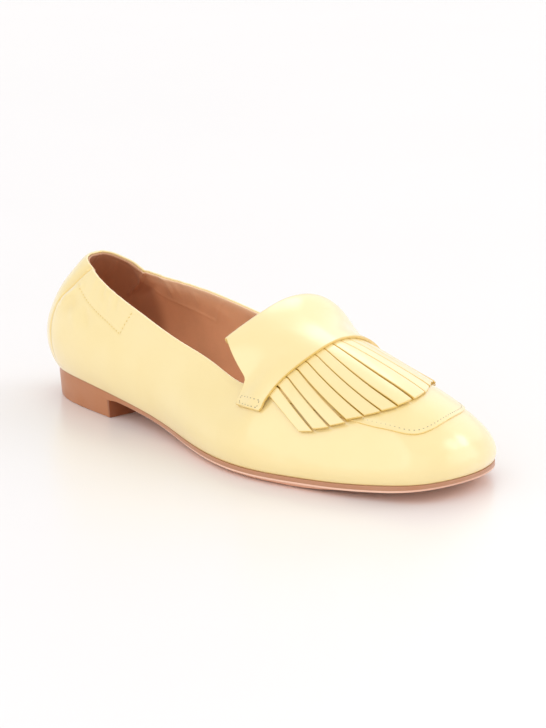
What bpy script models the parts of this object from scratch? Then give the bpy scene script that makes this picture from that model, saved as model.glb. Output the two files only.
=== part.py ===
"""Slip-on loafer with a saddle strap, a folded tongue and a fringe: right shoe, millimetres."""
from collections import namedtuple
from math import radians

import bpy
import numpy as np
from mathutils import Vector
from mathutils.bvhtree import BVHTree

MM = 0.001

# Driving sizes
WALL = 1.8
SEAT = 0.3
INSOLE_THICK = 2.2
INSOLE_ROOM = 0.5
SOLE_ROUND = 4.5
HEEL_BREAST = 65.0
BREAST_RAKE = 0.5
HEEL_FLUSH = 0.05
HEEL_TAPER = 0.8
HEEL_ROUND = 0.5
STRAP_THICK = 1.2
FOLD_RADIUS = 1.9
FRINGE_THICK = 0.9
FRINGE_STRIPS = 16
FRINGE_TUCK = 6.0
FRINGE_LIFT = 0.35
FRINGE_TIP_LIFT = 0.9
SLIT_START = 0.02
SLIT_WIDTH = 0.5
SLIT_FLARE = 0.6

# Plan of the last's bottom edge, heel back to toe tip, each side of the centre line
Feather = namedtuple("Feather", "along lateral medial")
FEATHER = [
    Feather(5.0, 0.0, 0.0),
    Feather(9.5, 10.0, 11.5),
    Feather(21.0, 19.7, 20.0),
    Feather(43.0, 26.2, 24.5),
    Feather(75.0, 29.8, 23.0),
    Feather(105.0, 33.4, 23.0),
    Feather(135.0, 41.7, 27.5),
    Feather(162.0, 46.6, 34.0),
    Feather(176.0, 46.2, 36.5),
    Feather(190.0, 43.6, 37.3),
    Feather(210.0, 38.0, 35.0),
    Feather(229.0, 30.0, 30.2),
    Feather(239.4, 23.4, 18.0),
    Feather(245.2, 5.0, -5.0),
]

# Top of each section: the collar back to the throat, then the vamp's ridge to the toe
Top = namedtuple("Top", "along lateral medial height_lateral height_medial")
TOP = [
    Top(25.0, 0.0, 0.0, 62.6, 62.6),
    Top(27.5, 8.5, 8.5, 62.3, 60.4),
    Top(37.0, 16.0, 16.0, 60.3, 54.3),
    Top(56.0, 22.5, 22.0, 54.7, 49.9),
    Top(82.0, 27.0, 25.5, 48.5, 46.1),
    Top(110.0, 30.5, 28.0, 42.2, 40.9),
    Top(136.0, 32.5, 29.5, 37.6, 37.4),
    Top(159.0, 32.5, 30.0, 33.9, 35.2),
    Top(166.0, 20.5, 10.5, 47.0, 47.0),
    Top(170.0, 5.0, -5.0, 51.0, 51.0),
    Top(190.0, 5.0, -5.0, 46.2, 46.2),
    Top(204.0, 5.0, -5.0, 41.9, 41.9),
    Top(211.0, 5.0, -5.0, 39.6, 39.6),
    Top(214.0, 5.0, -5.0, 38.6, 38.6),
]
THROAT = 9

# How each section's wall leaves the sole and comes to its top
Wall = namedtuple("Wall", "swell_out swell_up lean_out lean_down")
WALL_SHAPE = [
    Wall(12.0, 14.0, 14.5, 13.0),
    Wall(11.8, 14.0, 13.5, 13.0),
    Wall(10.0, 15.0, 8.5, 13.0),
    Wall(7.5, 16.0, 3.5, 14.0),
    Wall(6.0, 14.0, 1.5, 12.0),
    Wall(5.0, 13.0, 1.5, 11.0),
    Wall(5.0, 12.0, 3.0, 10.0),
    Wall(5.0, 12.0, 8.0, 8.0),
    Wall(5.0, 13.0, 14.0, 6.0),
    Wall(5.0, 14.0, 22.0, 0.0),
    Wall(5.0, 14.0, 18.0, 0.0),
    Wall(6.0, 12.5, 16.0, 0.0),
    Wall(6.5, 12.0, 17.0, 0.0),
    Wall(6.5, 12.0, 18.0, 0.0),
]

# Side view of the bottom: the feather line, the sole's underside, how high its edge is rounded
# and how far its edge stands out of the feather line
Profile = namedtuple("Profile", "along feather floor rounded proud")
PROFILE = [
    Profile(0.0, 13.2, 9.8, 0.1, -0.8),
    Profile(20.0, 13.2, 9.8, 0.1, -0.8),
    Profile(45.0, 12.7, 9.3, 0.1, -0.8),
    Profile(70.0, 11.0, 7.4, 0.2, -0.6),
    Profile(95.0, 8.4, 4.4, 0.7, -0.1),
    Profile(120.0, 5.8, 1.5, 1.2, 0.3),
    Profile(145.0, 4.5, -0.1, 1.6, 0.6),
    Profile(170.0, 4.3, -0.3, 1.7, 0.7),
    Profile(195.0, 4.8, 0.1, 1.6, 0.7),
    Profile(220.0, 5.8, 1.6, 1.2, 0.6),
    Profile(250.0, 8.9, 5.6, 0.6, 0.4),
]

# Lower edge of the sole: share of the rounding taken inward, share of its height left
Edge = namedtuple("Edge", "inset rise")
SOLE_EDGE = [
    Edge(0.0, 1.0),
    Edge(0.25, 0.45),
    Edge(1.0, 0.0),
]

# How finely each piece is cut into faces
RIBS_BETWEEN = [2, 2, 3, 3, 3, 3, 3, 2, 2, 2, 3, 3, 3]
LEVELS = 12
STATIONS = 40
OUTLINE_POINTS = 480
STRAP_ROWS = 9
STRAP_END_COLUMNS = 6
STRAP_LATERAL_ANGLES = [-62, -59, -56, -52, -48, -45, -42, -39, -35, -30.5, -23.5, -16.5, -8]
STRAP_MEDIAL_ANGLES = [0, 6.5, 12.5, 21, 30, 37.5, 45, 48, 51, 54.5, 58, 62, 64.5]
FOLD_TURNS = [40.0, 80.0, 120.0, 160.0, 180.0]
FOLD_FLAP = [0.4, 1.0]
FRINGE_TUCKED = [-1.0, -0.45]
FRINGE_ROWS = 9
WRAP_FINE = 4
WRAP_LEVELS = 40
HALF_STEP = 0.5
SAME_PLACE = 0.001

# Wrapped pieces are placed by length and by angle about a line inside the forefoot
AXIS_HEIGHT = 15.0
AXIS_SIDE = -5.0

# Strap and tongue: angle from the top, front edge, back edge, where it leaves the vamp, gap to the vamp,
# then the length and the distance from the axis of the tongue's fold
Strap = namedtuple("Strap", "angle front back leave lift fold reach")
STRAP = [
    Strap(-72.2, 173.4, 158.8, 158.8, 0.45, 143.8, 41.0),
    Strap(-69.5, 174.1, 159.0, 159.0, 0.55, 143.8, 41.0),
    Strap(-65.0, 174.9, 159.2, 160.0, 1.6, 143.8, 41.0),
    Strap(-56.0, 176.0, 159.8, 162.0, 1.6, 143.8, 41.0),
    Strap(-39.0, 178.7, 143.8, 167.0, 1.6, 143.8, 41.0),
    Strap(-30.5, 179.9, 145.6, 169.0, 1.6, 145.6, 40.9),
    Strap(-16.5, 181.0, 147.4, 171.5, 1.6, 147.4, 41.4),
    Strap(0.0, 180.6, 148.2, 172.5, 1.6, 148.2, 43.8),
    Strap(12.5, 179.6, 148.4, 171.5, 1.6, 148.4, 45.6),
    Strap(21.0, 178.5, 148.3, 170.0, 1.6, 148.3, 46.4),
    Strap(30.0, 177.2, 148.0, 168.4, 1.6, 148.0, 46.5),
    Strap(45.0, 174.9, 146.6, 165.2, 1.6, 146.6, 45.4),
    Strap(62.0, 172.6, 158.8, 160.8, 1.6, 146.6, 43.0),
    Strap(67.0, 171.9, 159.3, 160.0, 1.6, 146.6, 43.0),
    Strap(71.0, 171.2, 159.2, 159.2, 0.55, 146.6, 43.0),
    Strap(74.0, 170.6, 159.0, 159.0, 0.45, 146.6, 43.0),
]
TONGUE_CORNERS = [-39.0, 45.0]
TONGUE_RISE = 0.05
LEAVE_RUN = 4.0
FOLD_REACH = 11.0
FOLD_REACH_CORNER = 3.0
FOLD_SINK = 0.8

# Fringe: angle of a slit at the strap, then its angle and place at the tips
Slit = namedtuple("Slit", "root tip along")
SLITS = [
    Slit(-62.6, -78.4, 193.7),
    Slit(-54.8, -75.1, 199.4),
    Slit(-47.0, -70.2, 205.0),
    Slit(-39.1, -63.2, 210.2),
    Slit(-31.3, -54.8, 215.3),
    Slit(-23.5, -45.0, 220.2),
    Slit(-15.7, -32.5, 223.6),
    Slit(-7.8, -13.6, 224.7),
    Slit(0.0, 9.0, 222.8),
    Slit(7.8, 25.0, 218.6),
    Slit(23.5, 47.0, 209.8),
    Slit(39.1, 62.5, 202.2),
    Slit(54.8, 73.0, 194.4),
    Slit(62.6, 77.0, 190.2),
]


def spline(knots, values, at, period=None):
    """Cubic spline through the values, closed when a period is given, otherwise with free ends."""
    t = np.asarray(knots, float)
    v = np.asarray(values, float)
    at = np.asarray(at, float)
    n = len(t)
    wide = (-1,) + (1,) * (v.ndim - 1)
    if period is None:
        h = np.diff(t)
        d = np.diff(v, axis=0) / h.reshape(wide)
        a = np.eye(n)
        b = np.zeros(v.shape)
        for k in range(1, n - 1):
            a[k, k - 1:k + 2] = h[k - 1], 2 * (h[k - 1] + h[k]), h[k]
            b[k] = 6 * (d[k] - d[k - 1])
        i = np.clip(np.searchsorted(t, at, "right") - 1, 0, n - 2)
        j = i + 1
    else:
        h = np.diff(np.append(t, t[0] + period))
        d = (np.roll(v, -1, 0) - v) / h.reshape(wide)
        a = np.zeros((n, n))
        for k in range(n):
            a[k, k - 1] = h[k - 1]
            a[k, k] = 2 * (h[k - 1] + h[k])
            a[k, (k + 1) % n] = h[k]
        b = 6 * (d - np.roll(d, 1, 0))
        at = (at - t[0]) % period + t[0]
        i = np.clip(np.searchsorted(t, at, "right") - 1, 0, n - 1)
        j = (i + 1) % n
    m = np.linalg.solve(a, b.reshape(n, -1)).reshape(v.shape)
    wide = at.shape + (1,) * (v.ndim - 1)
    gap = h[i].reshape(wide)
    s = (at - t[i]).reshape(wide)
    r = gap - s
    bend = (m[i] * r**3 + m[j] * s**3) / (6 * gap)
    return bend + (v[i] / gap - m[i] * gap / 6) * r + (v[j] / gap - m[j] * gap / 6) * s


def chords(points):
    """Length along a closed run of points to each of them, and the whole length."""
    steps = np.linalg.norm(np.roll(points, -1, 0) - points, axis=1)
    return np.concatenate([[0], np.cumsum(steps)[:-1]]), steps.sum()


def around(rows, side_values, last):
    """Rows from the heel along the lateral side to the given row, then back along the medial side."""
    lateral = [side_values(row, -1) for row in rows[:last + 1]]
    medial = [side_values(row, 1) for row in rows[1:last]]
    return np.array(lateral + medial[::-1], float)


FEATHER_LOOP = around(
    FEATHER,
    lambda f, s: (f.along, -f.lateral) if s < 0 else (f.along, f.medial),
    len(FEATHER) - 1,
)
FEATHER_AT, FEATHER_LONG = chords(FEATHER_LOOP)
COLLAR_LOOP = around(
    TOP,
    lambda t, s: (t.along, -t.lateral, t.height_lateral) if s < 0 else (t.along, t.medial, t.height_medial),
    THROAT,
)
COLLAR_AT, COLLAR_LONG = chords(COLLAR_LOOP)
LAST_ROW = len(FEATHER) - 1
RIDGE = np.array([(t.along, -t.lateral, t.height_lateral) for t in TOP[THROAT:]])
PROFILE_AT = [p.along for p in PROFILE]


def profile(column, x):
    """A height of the side view at the lengths given."""
    return spline(PROFILE_AT, [getattr(p, column) for p in PROFILE], x)


def floor(x):
    """Underside of the sole, never under the ground."""
    return np.maximum(profile("floor", x), 0.0)


def ridge_height(x):
    """Height of the vamp's ridge at the lengths given."""
    return spline(RIDGE[:, 0], RIDGE[:, 2], x)


def loop_place(row, side, at, whole, last):
    """Turn section numbers into lengths along a closed loop, on the side given."""
    if side < 0:
        return spline(range(last + 1), at[:last + 1], row)
    back = np.append(at[last:], whole)[::-1]
    return spline(range(last + 1), back, row)


def feather(row, side):
    """Points of the feather line and the level directions pointing into the shoe."""
    s = loop_place(row, side, FEATHER_AT, FEATHER_LONG, LAST_ROW)
    p = spline(FEATHER_AT, FEATHER_LOOP, s, FEATHER_LONG)
    ahead = spline(FEATHER_AT, FEATHER_LOOP, s + HALF_STEP, FEATHER_LONG)
    behind = spline(FEATHER_AT, FEATHER_LOOP, s - HALF_STEP, FEATHER_LONG)
    run = ahead - behind
    run = run / np.linalg.norm(run, axis=1)[:, None]
    inward = np.stack([-run[:, 1], run[:, 0]], -1)
    return np.column_stack([p, profile("feather", p[:, 0])]), inward


def tops(row, side):
    """Top points of the ribs: on the collar behind the throat, on the ridge in front of it."""
    on_collar = np.minimum(row, THROAT)
    q = loop_place(on_collar, side, COLLAR_AT, COLLAR_LONG, THROAT)
    collar = spline(COLLAR_AT, COLLAR_LOOP, q, COLLAR_LONG)
    rows = range(len(RIDGE))
    x = spline(rows, RIDGE[:, 0], np.maximum(row - THROAT, 0))
    ridge = np.column_stack([x, spline(RIDGE[:, 0], RIDGE[:, 1], x), ridge_height(x)])
    rise = (ridge_height(x + HALF_STEP) - ridge_height(x - HALF_STEP)) / (2 * HALF_STEP)
    slope = rise * np.clip(row - THROAT + 1, 0, 1)
    return np.where((row < THROAT)[:, None], collar, ridge), slope


def handles(side):
    """Points that draw each section's wall outward above the sole and inward below its top."""
    row = np.arange(LAST_ROW + 1.0)
    foot, inward = feather(row, side)
    top, slope = tops(row, side)
    out, up, lean, down = np.array(WALL_SHAPE).T
    low = foot + np.column_stack([-inward * out[:, None], up])
    high = top + np.column_stack([-inward * lean[:, None], -down - slope * inward[:, 0] * lean])
    return np.concatenate([low, high], 1)


HANDLES = np.concatenate([handles(-1), handles(1)[-2:0:-1]])


def ribs(row, side, level):
    """Outer surface of the upper, ribs by levels."""
    row = np.asarray(row, float)
    foot = feather(row, side)[0]
    top = tops(row, side)[0]
    count = len(HANDLES)
    drawn = spline(range(count), HANDLES, row if side < 0 else count - row, count)
    low = drawn[:, :3]
    high = drawn[:, 3:]
    t = np.asarray(level, float)[None, :, None]
    a = foot[:, None] * (1 - t)**3 + 3 * low[:, None] * t * (1 - t)**2
    return a + 3 * high[:, None] * t**2 * (1 - t) + top[:, None] * t**3


def section_numbers(fine=1):
    """Section numbers of the ribs along one side, heel to toe."""
    runs = [np.arange(n * fine) / (n * fine) + k for k, n in enumerate(RIBS_BETWEEN)]
    return np.append(np.concatenate(runs), LAST_ROW)


def upper_surface(fine=1, levels=LEVELS):
    """Outer surface of the upper as points and faces, the two sides joined along the vamp's ridge."""
    row = section_numbers(fine)
    level = np.linspace(0, 1, levels + 1)
    lateral = ribs(row, -1, level)
    medial = ribs(row[1:-1], 1, level)
    grid = np.concatenate([lateral, medial[::-1]])
    count = len(grid)
    number = np.arange(count * (levels + 1)).reshape(count, levels + 1)
    for k in np.nonzero(row >= THROAT)[0][:-1]:
        number[count - k, levels] = number[k, levels]
    quads = []
    for k in range(count):
        for j in range(levels):
            n = (k + 1) % count
            quads.append((number[k, j], number[n, j], number[n, j + 1], number[k, j + 1]))
    return grid.reshape(-1, 3), quads, number


def tidy(points, faces):
    """Drop points that no face uses, and corners that a face names twice."""
    kept = []
    for face in faces:
        short = [c for k, c in enumerate(face) if c != face[k - 1]]
        if len(short) > 2:
            kept.append(short)
    used = sorted({c for face in kept for c in face})
    new = {c: k for k, c in enumerate(used)}
    return np.asarray(points)[used], [[new[c] for c in face] for face in kept]


def point_normals(points, faces):
    """Unit normals at the points, each face weighing by its size."""
    total = np.zeros_like(points)
    for face in faces:
        p = points[list(face)]
        across = np.cross(p[2] - p[0], p[-1] - p[1])
        for c in face:
            total[c] += across
    size = np.linalg.norm(total, axis=1)
    size[size == 0] = 1
    return total / size[:, None]


def closed_sheet(points, faces, inner):
    """Close a sheet and its second side into one body along the sheet's free edges."""
    count = len(points)
    directed = {(face[k - 1], face[k]) for face in faces for k in range(len(face))}
    rim = [(a, b) for a, b in sorted(directed) if (b, a) not in directed]
    far = [[c + count for c in face[::-1]] for face in faces]
    edge = [[b, a, a + count, b + count] for a, b in rim]
    return np.concatenate([points, inner]), [list(f) for f in faces] + far + edge


def make_upper():
    """Hollow upper: vamp and quarters in one shell, open at the collar and underneath."""
    points, quads, number = upper_surface()
    normals = point_normals(points, quads)
    inner = points - normals * WALL
    foot = number[:, 0]
    level = normals[foot] * [1, 1, 0]
    inner[foot] = points[foot] - level / np.linalg.norm(level, axis=1)[:, None] * WALL
    return tidy(*closed_sheet(points, quads, inner))


def outline(offset, sole_edge=False):
    """Closed plan outline: the feather line, or the sole's edge, moved outward by the offset."""
    s = np.linspace(0, FEATHER_LONG, OUTLINE_POINTS, endpoint=False)
    p = spline(FEATHER_AT, FEATHER_LOOP, s, FEATHER_LONG)
    run = np.roll(p, -1, 0) - np.roll(p, 1, 0)
    run = run / np.linalg.norm(run, axis=1)[:, None]
    move = offset + profile("proud", p[:, 0]) * sole_edge
    return p + np.stack([run[:, 1], -run[:, 0]], -1) * move[:, None]


def side_stations(loop, front=None):
    """Lengths from heel to front, with the lateral and the medial edge at each."""
    first = np.argmin(loop[:, 0])
    loop = np.roll(loop, -first, 0)
    tip = np.argmax(loop[:, 0])
    lateral = loop[:tip + 1]
    medial = np.concatenate([loop[tip:], loop[:1]])[::-1]
    end = loop[tip, 0] if front is None else front
    turn = np.linspace(0, np.pi if front is None else np.pi / 2, STATIONS + 1)
    share = (1 - np.cos(turn)) / (2 if front is None else 1)
    x = loop[0, 0] + (end - loop[0, 0]) * share
    return x, np.interp(x, lateral[:, 0], lateral[:, 1]), np.interp(x, medial[:, 0], medial[:, 1])


def plate(rings):
    """Solid between rings listed from the top down, each a set of stations with a height at each."""
    points = []
    for x, lateral, medial, z in rings:
        points.append(np.column_stack([x, lateral, z]))
        points.append(np.column_stack([x, medial, z]))
    n = len(rings[0][0])
    number = np.arange(2 * n * len(rings)).reshape(len(rings), 2, n)
    for ring in number:
        for end in (0, n - 1):
            if abs(points[ring[0, 0] // n][end, 1] - points[ring[1, 0] // n][end, 1]) < SAME_PLACE:
                ring[1, end] = ring[0, end]
    faces = []
    for upper, lower in zip(number[:-1], number[1:]):
        for k in range(n - 1):
            faces.append((upper[0, k], lower[0, k], lower[0, k + 1], upper[0, k + 1]))
            faces.append((upper[1, k + 1], lower[1, k + 1], lower[1, k], upper[1, k]))
        faces.append((upper[0, n - 1], lower[0, n - 1], lower[1, n - 1], upper[1, n - 1]))
        faces.append((upper[1, 0], lower[1, 0], lower[0, 0], upper[0, 0]))
    for k in range(n - 1):
        faces.append((number[0][0, k], number[0][0, k + 1], number[0][1, k + 1], number[0][1, k]))
        faces.append((number[-1][1, k], number[-1][1, k + 1], number[-1][0, k + 1], number[-1][0, k]))
    return tidy(np.concatenate(points), faces)


def make_outsole():
    """Full-length leather sole with arch, toe spring and a rounded lower edge."""
    x, lateral, medial = side_stations(outline(0.0, True))
    rings = [(x, lateral, medial, profile("feather", x) - SEAT)]
    for edge in SOLE_EDGE:
        x, lateral, medial = side_stations(outline(-SOLE_ROUND * edge.inset, True))
        rings.append((x, lateral, medial, floor(x) + profile("rounded", x) * edge.rise))
    return plate(rings)


def make_heel():
    """Low block under the heel, flush with the sole's edge, with a straight breast."""
    rings = []
    for inset, height in ((0.0, None), (HEEL_TAPER, HEEL_ROUND), (HEEL_TAPER + HEEL_ROUND, 0.0)):
        edge = outline(-HEEL_FLUSH - inset, True)
        x, lateral, medial = side_stations(edge, HEEL_BREAST - inset * BREAST_RAKE)
        z = floor(x) - SEAT if height is None else np.full(len(x), height)
        rings.append((x, lateral, medial, z))
    return plate(rings)


def make_insole():
    """Inner sole that closes the upper from inside."""
    x, lateral, medial = side_stations(outline(-WALL - INSOLE_ROOM))
    base = profile("feather", x)
    return plate([(x, lateral, medial, base + INSOLE_THICK), (x, lateral, medial, base)])


class Wrap:
    """Places on and above the vamp, by length and by angle about the forefoot's axis."""

    def __init__(self):
        points, faces, _number = upper_surface(WRAP_FINE, WRAP_LEVELS)
        self.tree = BVHTree.FromPolygons(points.tolist(), [list(f) for f in faces])

    def radius(self, x, angle):
        """Distance of the vamp from the axis."""
        start = Vector((x, AXIS_SIDE, AXIS_HEIGHT))
        aim = Vector((0.0, np.sin(radians(angle)), np.cos(radians(angle))))
        return (self.tree.ray_cast(start, aim)[0] - start).length


def at_angle(x, angle, radius):
    """Point at a length, an angle and a distance from the axis."""
    turn = np.radians(angle)
    return np.array([x, AXIS_SIDE + radius * np.sin(turn), AXIS_HEIGHT + radius * np.cos(turn)])


def strap_column(column, angle):
    """A column of the strap table at an angle, in straight steps."""
    return np.interp(angle, [s.angle for s in STRAP], [getattr(s, column) for s in STRAP])


def strap_radius(wrap, x, angle):
    """Middle of the strap's leather: on the vamp in front, free of it over the throat."""
    leave = strap_column("leave", angle)
    lift = strap_column("lift", angle) + STRAP_THICK / 2
    if x >= leave:
        return wrap.radius(x, angle) + lift
    start = wrap.radius(leave, angle)
    slope = (wrap.radius(leave + LEAVE_RUN, angle) - start) / LEAVE_RUN
    span = strap_column("fold", angle) - leave
    end = strap_column("reach", angle) - lift
    t = (x - leave) / span
    free = start * (2 * t**3 - 3 * t**2 + 1) + slope * span * (t**3 - 2 * t**2 + t)
    return free + end * (3 * t**2 - 2 * t**3) - TONGUE_RISE * span * (t**3 - t**2) + lift


def make_strap(wrap):
    """Saddle strap and tongue in one leather, stitched ends narrow, back edge folded under."""
    lateral = np.linspace(STRAP[0].angle, STRAP[2].angle, STRAP_END_COLUMNS)
    medial = np.linspace(STRAP[-3].angle, STRAP[-1].angle, STRAP_END_COLUMNS)
    angles = np.concatenate([lateral, STRAP_LATERAL_ANGLES, STRAP_MEDIAL_ANGLES, medial])
    along = np.linspace(0, 1, STRAP_ROWS)
    fold = np.radians(FOLD_TURNS)
    first, last = TONGUE_CORNERS
    folded = (angles >= first) & (angles <= last)
    points = []
    for angle, has_fold in zip(angles, folded):
        front = strap_column("front", angle)
        back = strap_column("back", angle)
        for share in along:
            x = front + (back - front) * share
            points.append(at_angle(x, angle, strap_radius(wrap, x, angle)))
        if has_fold:
            r = strap_radius(wrap, back, angle)
            for turn in fold:
                x = back - FOLD_RADIUS * np.sin(turn)
                points.append(at_angle(x, angle, r - FOLD_RADIUS * (1 - np.cos(turn))))
            aside = (2 * angle - first - last) / (last - first)
            reach = FOLD_REACH + (FOLD_REACH_CORNER - FOLD_REACH) * aside**2
            for share in FOLD_FLAP:
                under = r - 2 * FOLD_RADIUS - FOLD_SINK * share
                points.append(at_angle(back + reach * share, angle, under))
    faces = []
    starts = np.cumsum(np.append(0, STRAP_ROWS + (len(FOLD_TURNS) + len(FOLD_FLAP)) * folded))
    for k in range(len(angles) - 1):
        rows = min(starts[k + 1] - starts[k], starts[k + 2] - starts[k + 1]) - 1
        for j in range(rows):
            a = starts[k] + j
            b = starts[k + 1] + j
            faces.append((a, b, b + 1, a + 1))
    return thick_sheet(np.array(points), faces, STRAP_THICK)


def thick_sheet(points, faces, thick):
    """Give a sheet its thickness, half to each side."""
    normals = point_normals(points, faces)
    return tidy(*closed_sheet(points + normals * thick / 2, faces, points - normals * thick / 2))


def slit(column, root):
    """A column of the slit table at a root angle."""
    values = [getattr(row, column) for row in SLITS]
    return float(spline([row.root for row in SLITS], values, np.array([root]))[0])


def make_fringe(wrap):
    """Fringe in one leather: a band under the strap and strips that fan out over the vamp."""
    columns = []
    for k in range(FRINGE_STRIPS):
        for share in (0.0, 0.5, 1.0):
            columns.append((k, share))
    rows = np.concatenate([FRINGE_TUCKED, np.linspace(SLIT_START, 1, FRINGE_ROWS)])
    points = []
    for k, share in columns:
        for row in rows:
            out = max(row, 0.0)
            root = SLITS[-1].root * (2 * (k + share) / FRINGE_STRIPS - 1)
            angle = root + (slit("tip", root) - root) * out
            front = strap_column("front", root)
            x = front + FRINGE_TUCK * row if row < 0 else front + (slit("along", root) - front) * out
            half = (SLIT_WIDTH + SLIT_FLARE * out) / 2
            r = wrap.radius(x, angle)
            angle += np.degrees(half / r) * (1 - 2 * share)
            lift = FRINGE_LIFT + FRINGE_TIP_LIFT * out**3
            points.append(at_angle(x, angle, wrap.radius(x, angle) + lift + FRINGE_THICK / 2))
    n = len(rows)
    faces = []
    for c in range(len(columns) - 1):
        same_strip = columns[c][0] == columns[c + 1][0]
        for j in range(n - 1):
            if same_strip or j == 0:
                a = c * n + j
                b = a + n
                faces.append((a, a + 1, b + 1, b))
    return thick_sheet(np.array(points), faces, FRINGE_THICK)


# Colour and roughness of each leather
Finish = namedtuple("Finish", "colour roughness")
LEMON = Finish((0.97, 0.80, 0.43), 0.42)
TAN = Finish((0.46, 0.20, 0.12), 0.5)
LINING = Finish((0.48, 0.22, 0.13), 0.55)


def add_piece(name, solid, finish, centre):
    """Add one named solid with its own material."""
    points, faces = solid
    mesh = bpy.data.meshes.new(name)
    mesh.from_pydata(((points - centre) * MM).tolist(), [], faces)
    mesh.validate()
    mesh.update()
    material = bpy.data.materials.new(name)
    material.use_nodes = True
    shader = material.node_tree.nodes["Principled BSDF"]
    shader.inputs["Base Color"].default_value = (*finish.colour, 1.0)
    shader.inputs["Roughness"].default_value = finish.roughness
    shader.inputs["Metallic"].default_value = 0.0
    mesh.materials.append(material)
    bpy.context.scene.collection.objects.link(bpy.data.objects.new(name, mesh))


def main():
    """Build every piece and place the shoe's middle over the origin, its sole on the ground."""
    for item in list(bpy.data.objects):
        bpy.data.objects.remove(item, do_unlink=True)
    wrap = Wrap()
    pieces = {
        "upper": (make_upper(), LEMON),
        "outsole": (make_outsole(), TAN),
        "heel": (make_heel(), TAN),
        "insole": (make_insole(), LINING),
        "strap": (make_strap(wrap), LEMON),
        "fringe": (make_fringe(wrap), LEMON),
    }
    every = np.concatenate([solid[0] for solid, _finish in pieces.values()])
    low = every.min(0)
    high = every.max(0)
    centre = np.array([(low[0] + high[0]) / 2, (low[1] + high[1]) / 2, low[2]])
    for name, (solid, finish) in pieces.items():
        add_piece(name, solid, finish, centre)


main()
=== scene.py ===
"""Looks of a slip-on loafer: lemon leather, tan lining and sole, saddle strap, folded tongue and fringe."""

from collections import namedtuple
from functools import lru_cache
from math import cos, radians, sin

import bpy
import numpy as np
from bpy.props import FloatProperty, FloatVectorProperty, PointerProperty
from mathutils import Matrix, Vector
from mathutils.bvhtree import BVHTree
from mathutils.kdtree import KDTree


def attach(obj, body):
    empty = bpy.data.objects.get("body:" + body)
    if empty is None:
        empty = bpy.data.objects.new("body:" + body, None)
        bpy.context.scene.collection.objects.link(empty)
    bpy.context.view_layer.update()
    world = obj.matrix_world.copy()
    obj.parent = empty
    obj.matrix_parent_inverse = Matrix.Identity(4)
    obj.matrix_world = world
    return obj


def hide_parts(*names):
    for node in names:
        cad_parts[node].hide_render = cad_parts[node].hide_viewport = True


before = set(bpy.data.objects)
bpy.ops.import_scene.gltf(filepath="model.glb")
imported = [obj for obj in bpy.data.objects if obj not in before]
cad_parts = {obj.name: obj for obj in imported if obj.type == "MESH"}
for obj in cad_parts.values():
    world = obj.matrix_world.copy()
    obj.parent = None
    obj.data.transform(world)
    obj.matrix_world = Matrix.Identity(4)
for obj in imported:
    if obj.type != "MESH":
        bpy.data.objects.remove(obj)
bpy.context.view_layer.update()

bl_info = {
    "name": "Fringed Loafer",
    "version": (1, 0, 0),
    "blender": (4, 5, 0),
    "location": "3D View > Sidebar > Loafer",
    "description": "Leather, lining, sole and stitching of a slip-on loafer, and its studio",
    "category": "Object",
}

MM = 0.001

# Middle of the shoe, from the back of the heel, in millimetres
SHOE_CENTRE = np.array([123.715, -4.903, 0.0])

# Plan of the last's bottom edge, heel back to toe tip, each side of the centre line
Feather = namedtuple("Feather", "along lateral medial")
FEATHER = [
    Feather(5.0, 0.0, 0.0),
    Feather(9.5, 10.0, 11.5),
    Feather(21.0, 19.7, 20.0),
    Feather(43.0, 26.2, 24.5),
    Feather(75.0, 29.8, 23.0),
    Feather(105.0, 33.4, 23.0),
    Feather(135.0, 41.7, 27.5),
    Feather(162.0, 46.6, 34.0),
    Feather(176.0, 46.2, 36.5),
    Feather(190.0, 43.6, 37.3),
    Feather(210.0, 38.0, 35.0),
    Feather(229.0, 30.0, 30.2),
    Feather(239.4, 23.4, 18.0),
    Feather(245.2, 5.0, -5.0),
]

# Top of each section: the collar back to the throat, then the vamp's ridge to the toe
Top = namedtuple("Top", "along lateral medial height_lateral height_medial")
TOP = [
    Top(25.0, 0.0, 0.0, 62.6, 62.6),
    Top(27.5, 8.5, 8.5, 62.3, 60.4),
    Top(37.0, 16.0, 16.0, 60.3, 54.3),
    Top(56.0, 22.5, 22.0, 54.7, 49.9),
    Top(82.0, 27.0, 25.5, 48.5, 46.1),
    Top(110.0, 30.5, 28.0, 42.2, 40.9),
    Top(136.0, 32.5, 29.5, 36.9, 37.4),
    Top(162.0, 32.6, 30.0, 34.7, 35.2),
    Top(166.0, 20.5, 10.5, 47.0, 47.0),
    Top(170.0, 5.0, -5.0, 51.0, 51.0),
    Top(190.0, 5.0, -5.0, 46.2, 46.2),
    Top(204.0, 5.0, -5.0, 41.9, 41.9),
    Top(211.0, 5.0, -5.0, 39.6, 39.6),
    Top(214.0, 5.0, -5.0, 38.6, 38.6),
]
THROAT = 9

# How each section's wall leaves the sole and comes to its top
Wall = namedtuple("Wall", "swell_out swell_up lean_out lean_down")
WALL_SHAPE = [
    Wall(12.0, 14.0, 14.5, 13.0),
    Wall(11.8, 14.0, 13.5, 13.0),
    Wall(10.0, 15.0, 8.5, 13.0),
    Wall(7.5, 16.0, 3.5, 14.0),
    Wall(6.0, 14.0, 1.5, 12.0),
    Wall(5.0, 13.0, 1.5, 11.0),
    Wall(5.0, 12.0, 3.0, 10.0),
    Wall(5.0, 12.0, 8.0, 8.0),
    Wall(5.0, 13.0, 14.0, 6.0),
    Wall(5.0, 14.0, 22.0, 0.0),
    Wall(5.0, 14.0, 18.0, 0.0),
    Wall(6.0, 12.5, 16.0, 0.0),
    Wall(6.5, 12.0, 17.0, 0.0),
    Wall(6.5, 12.0, 18.0, 0.0),
]

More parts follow.
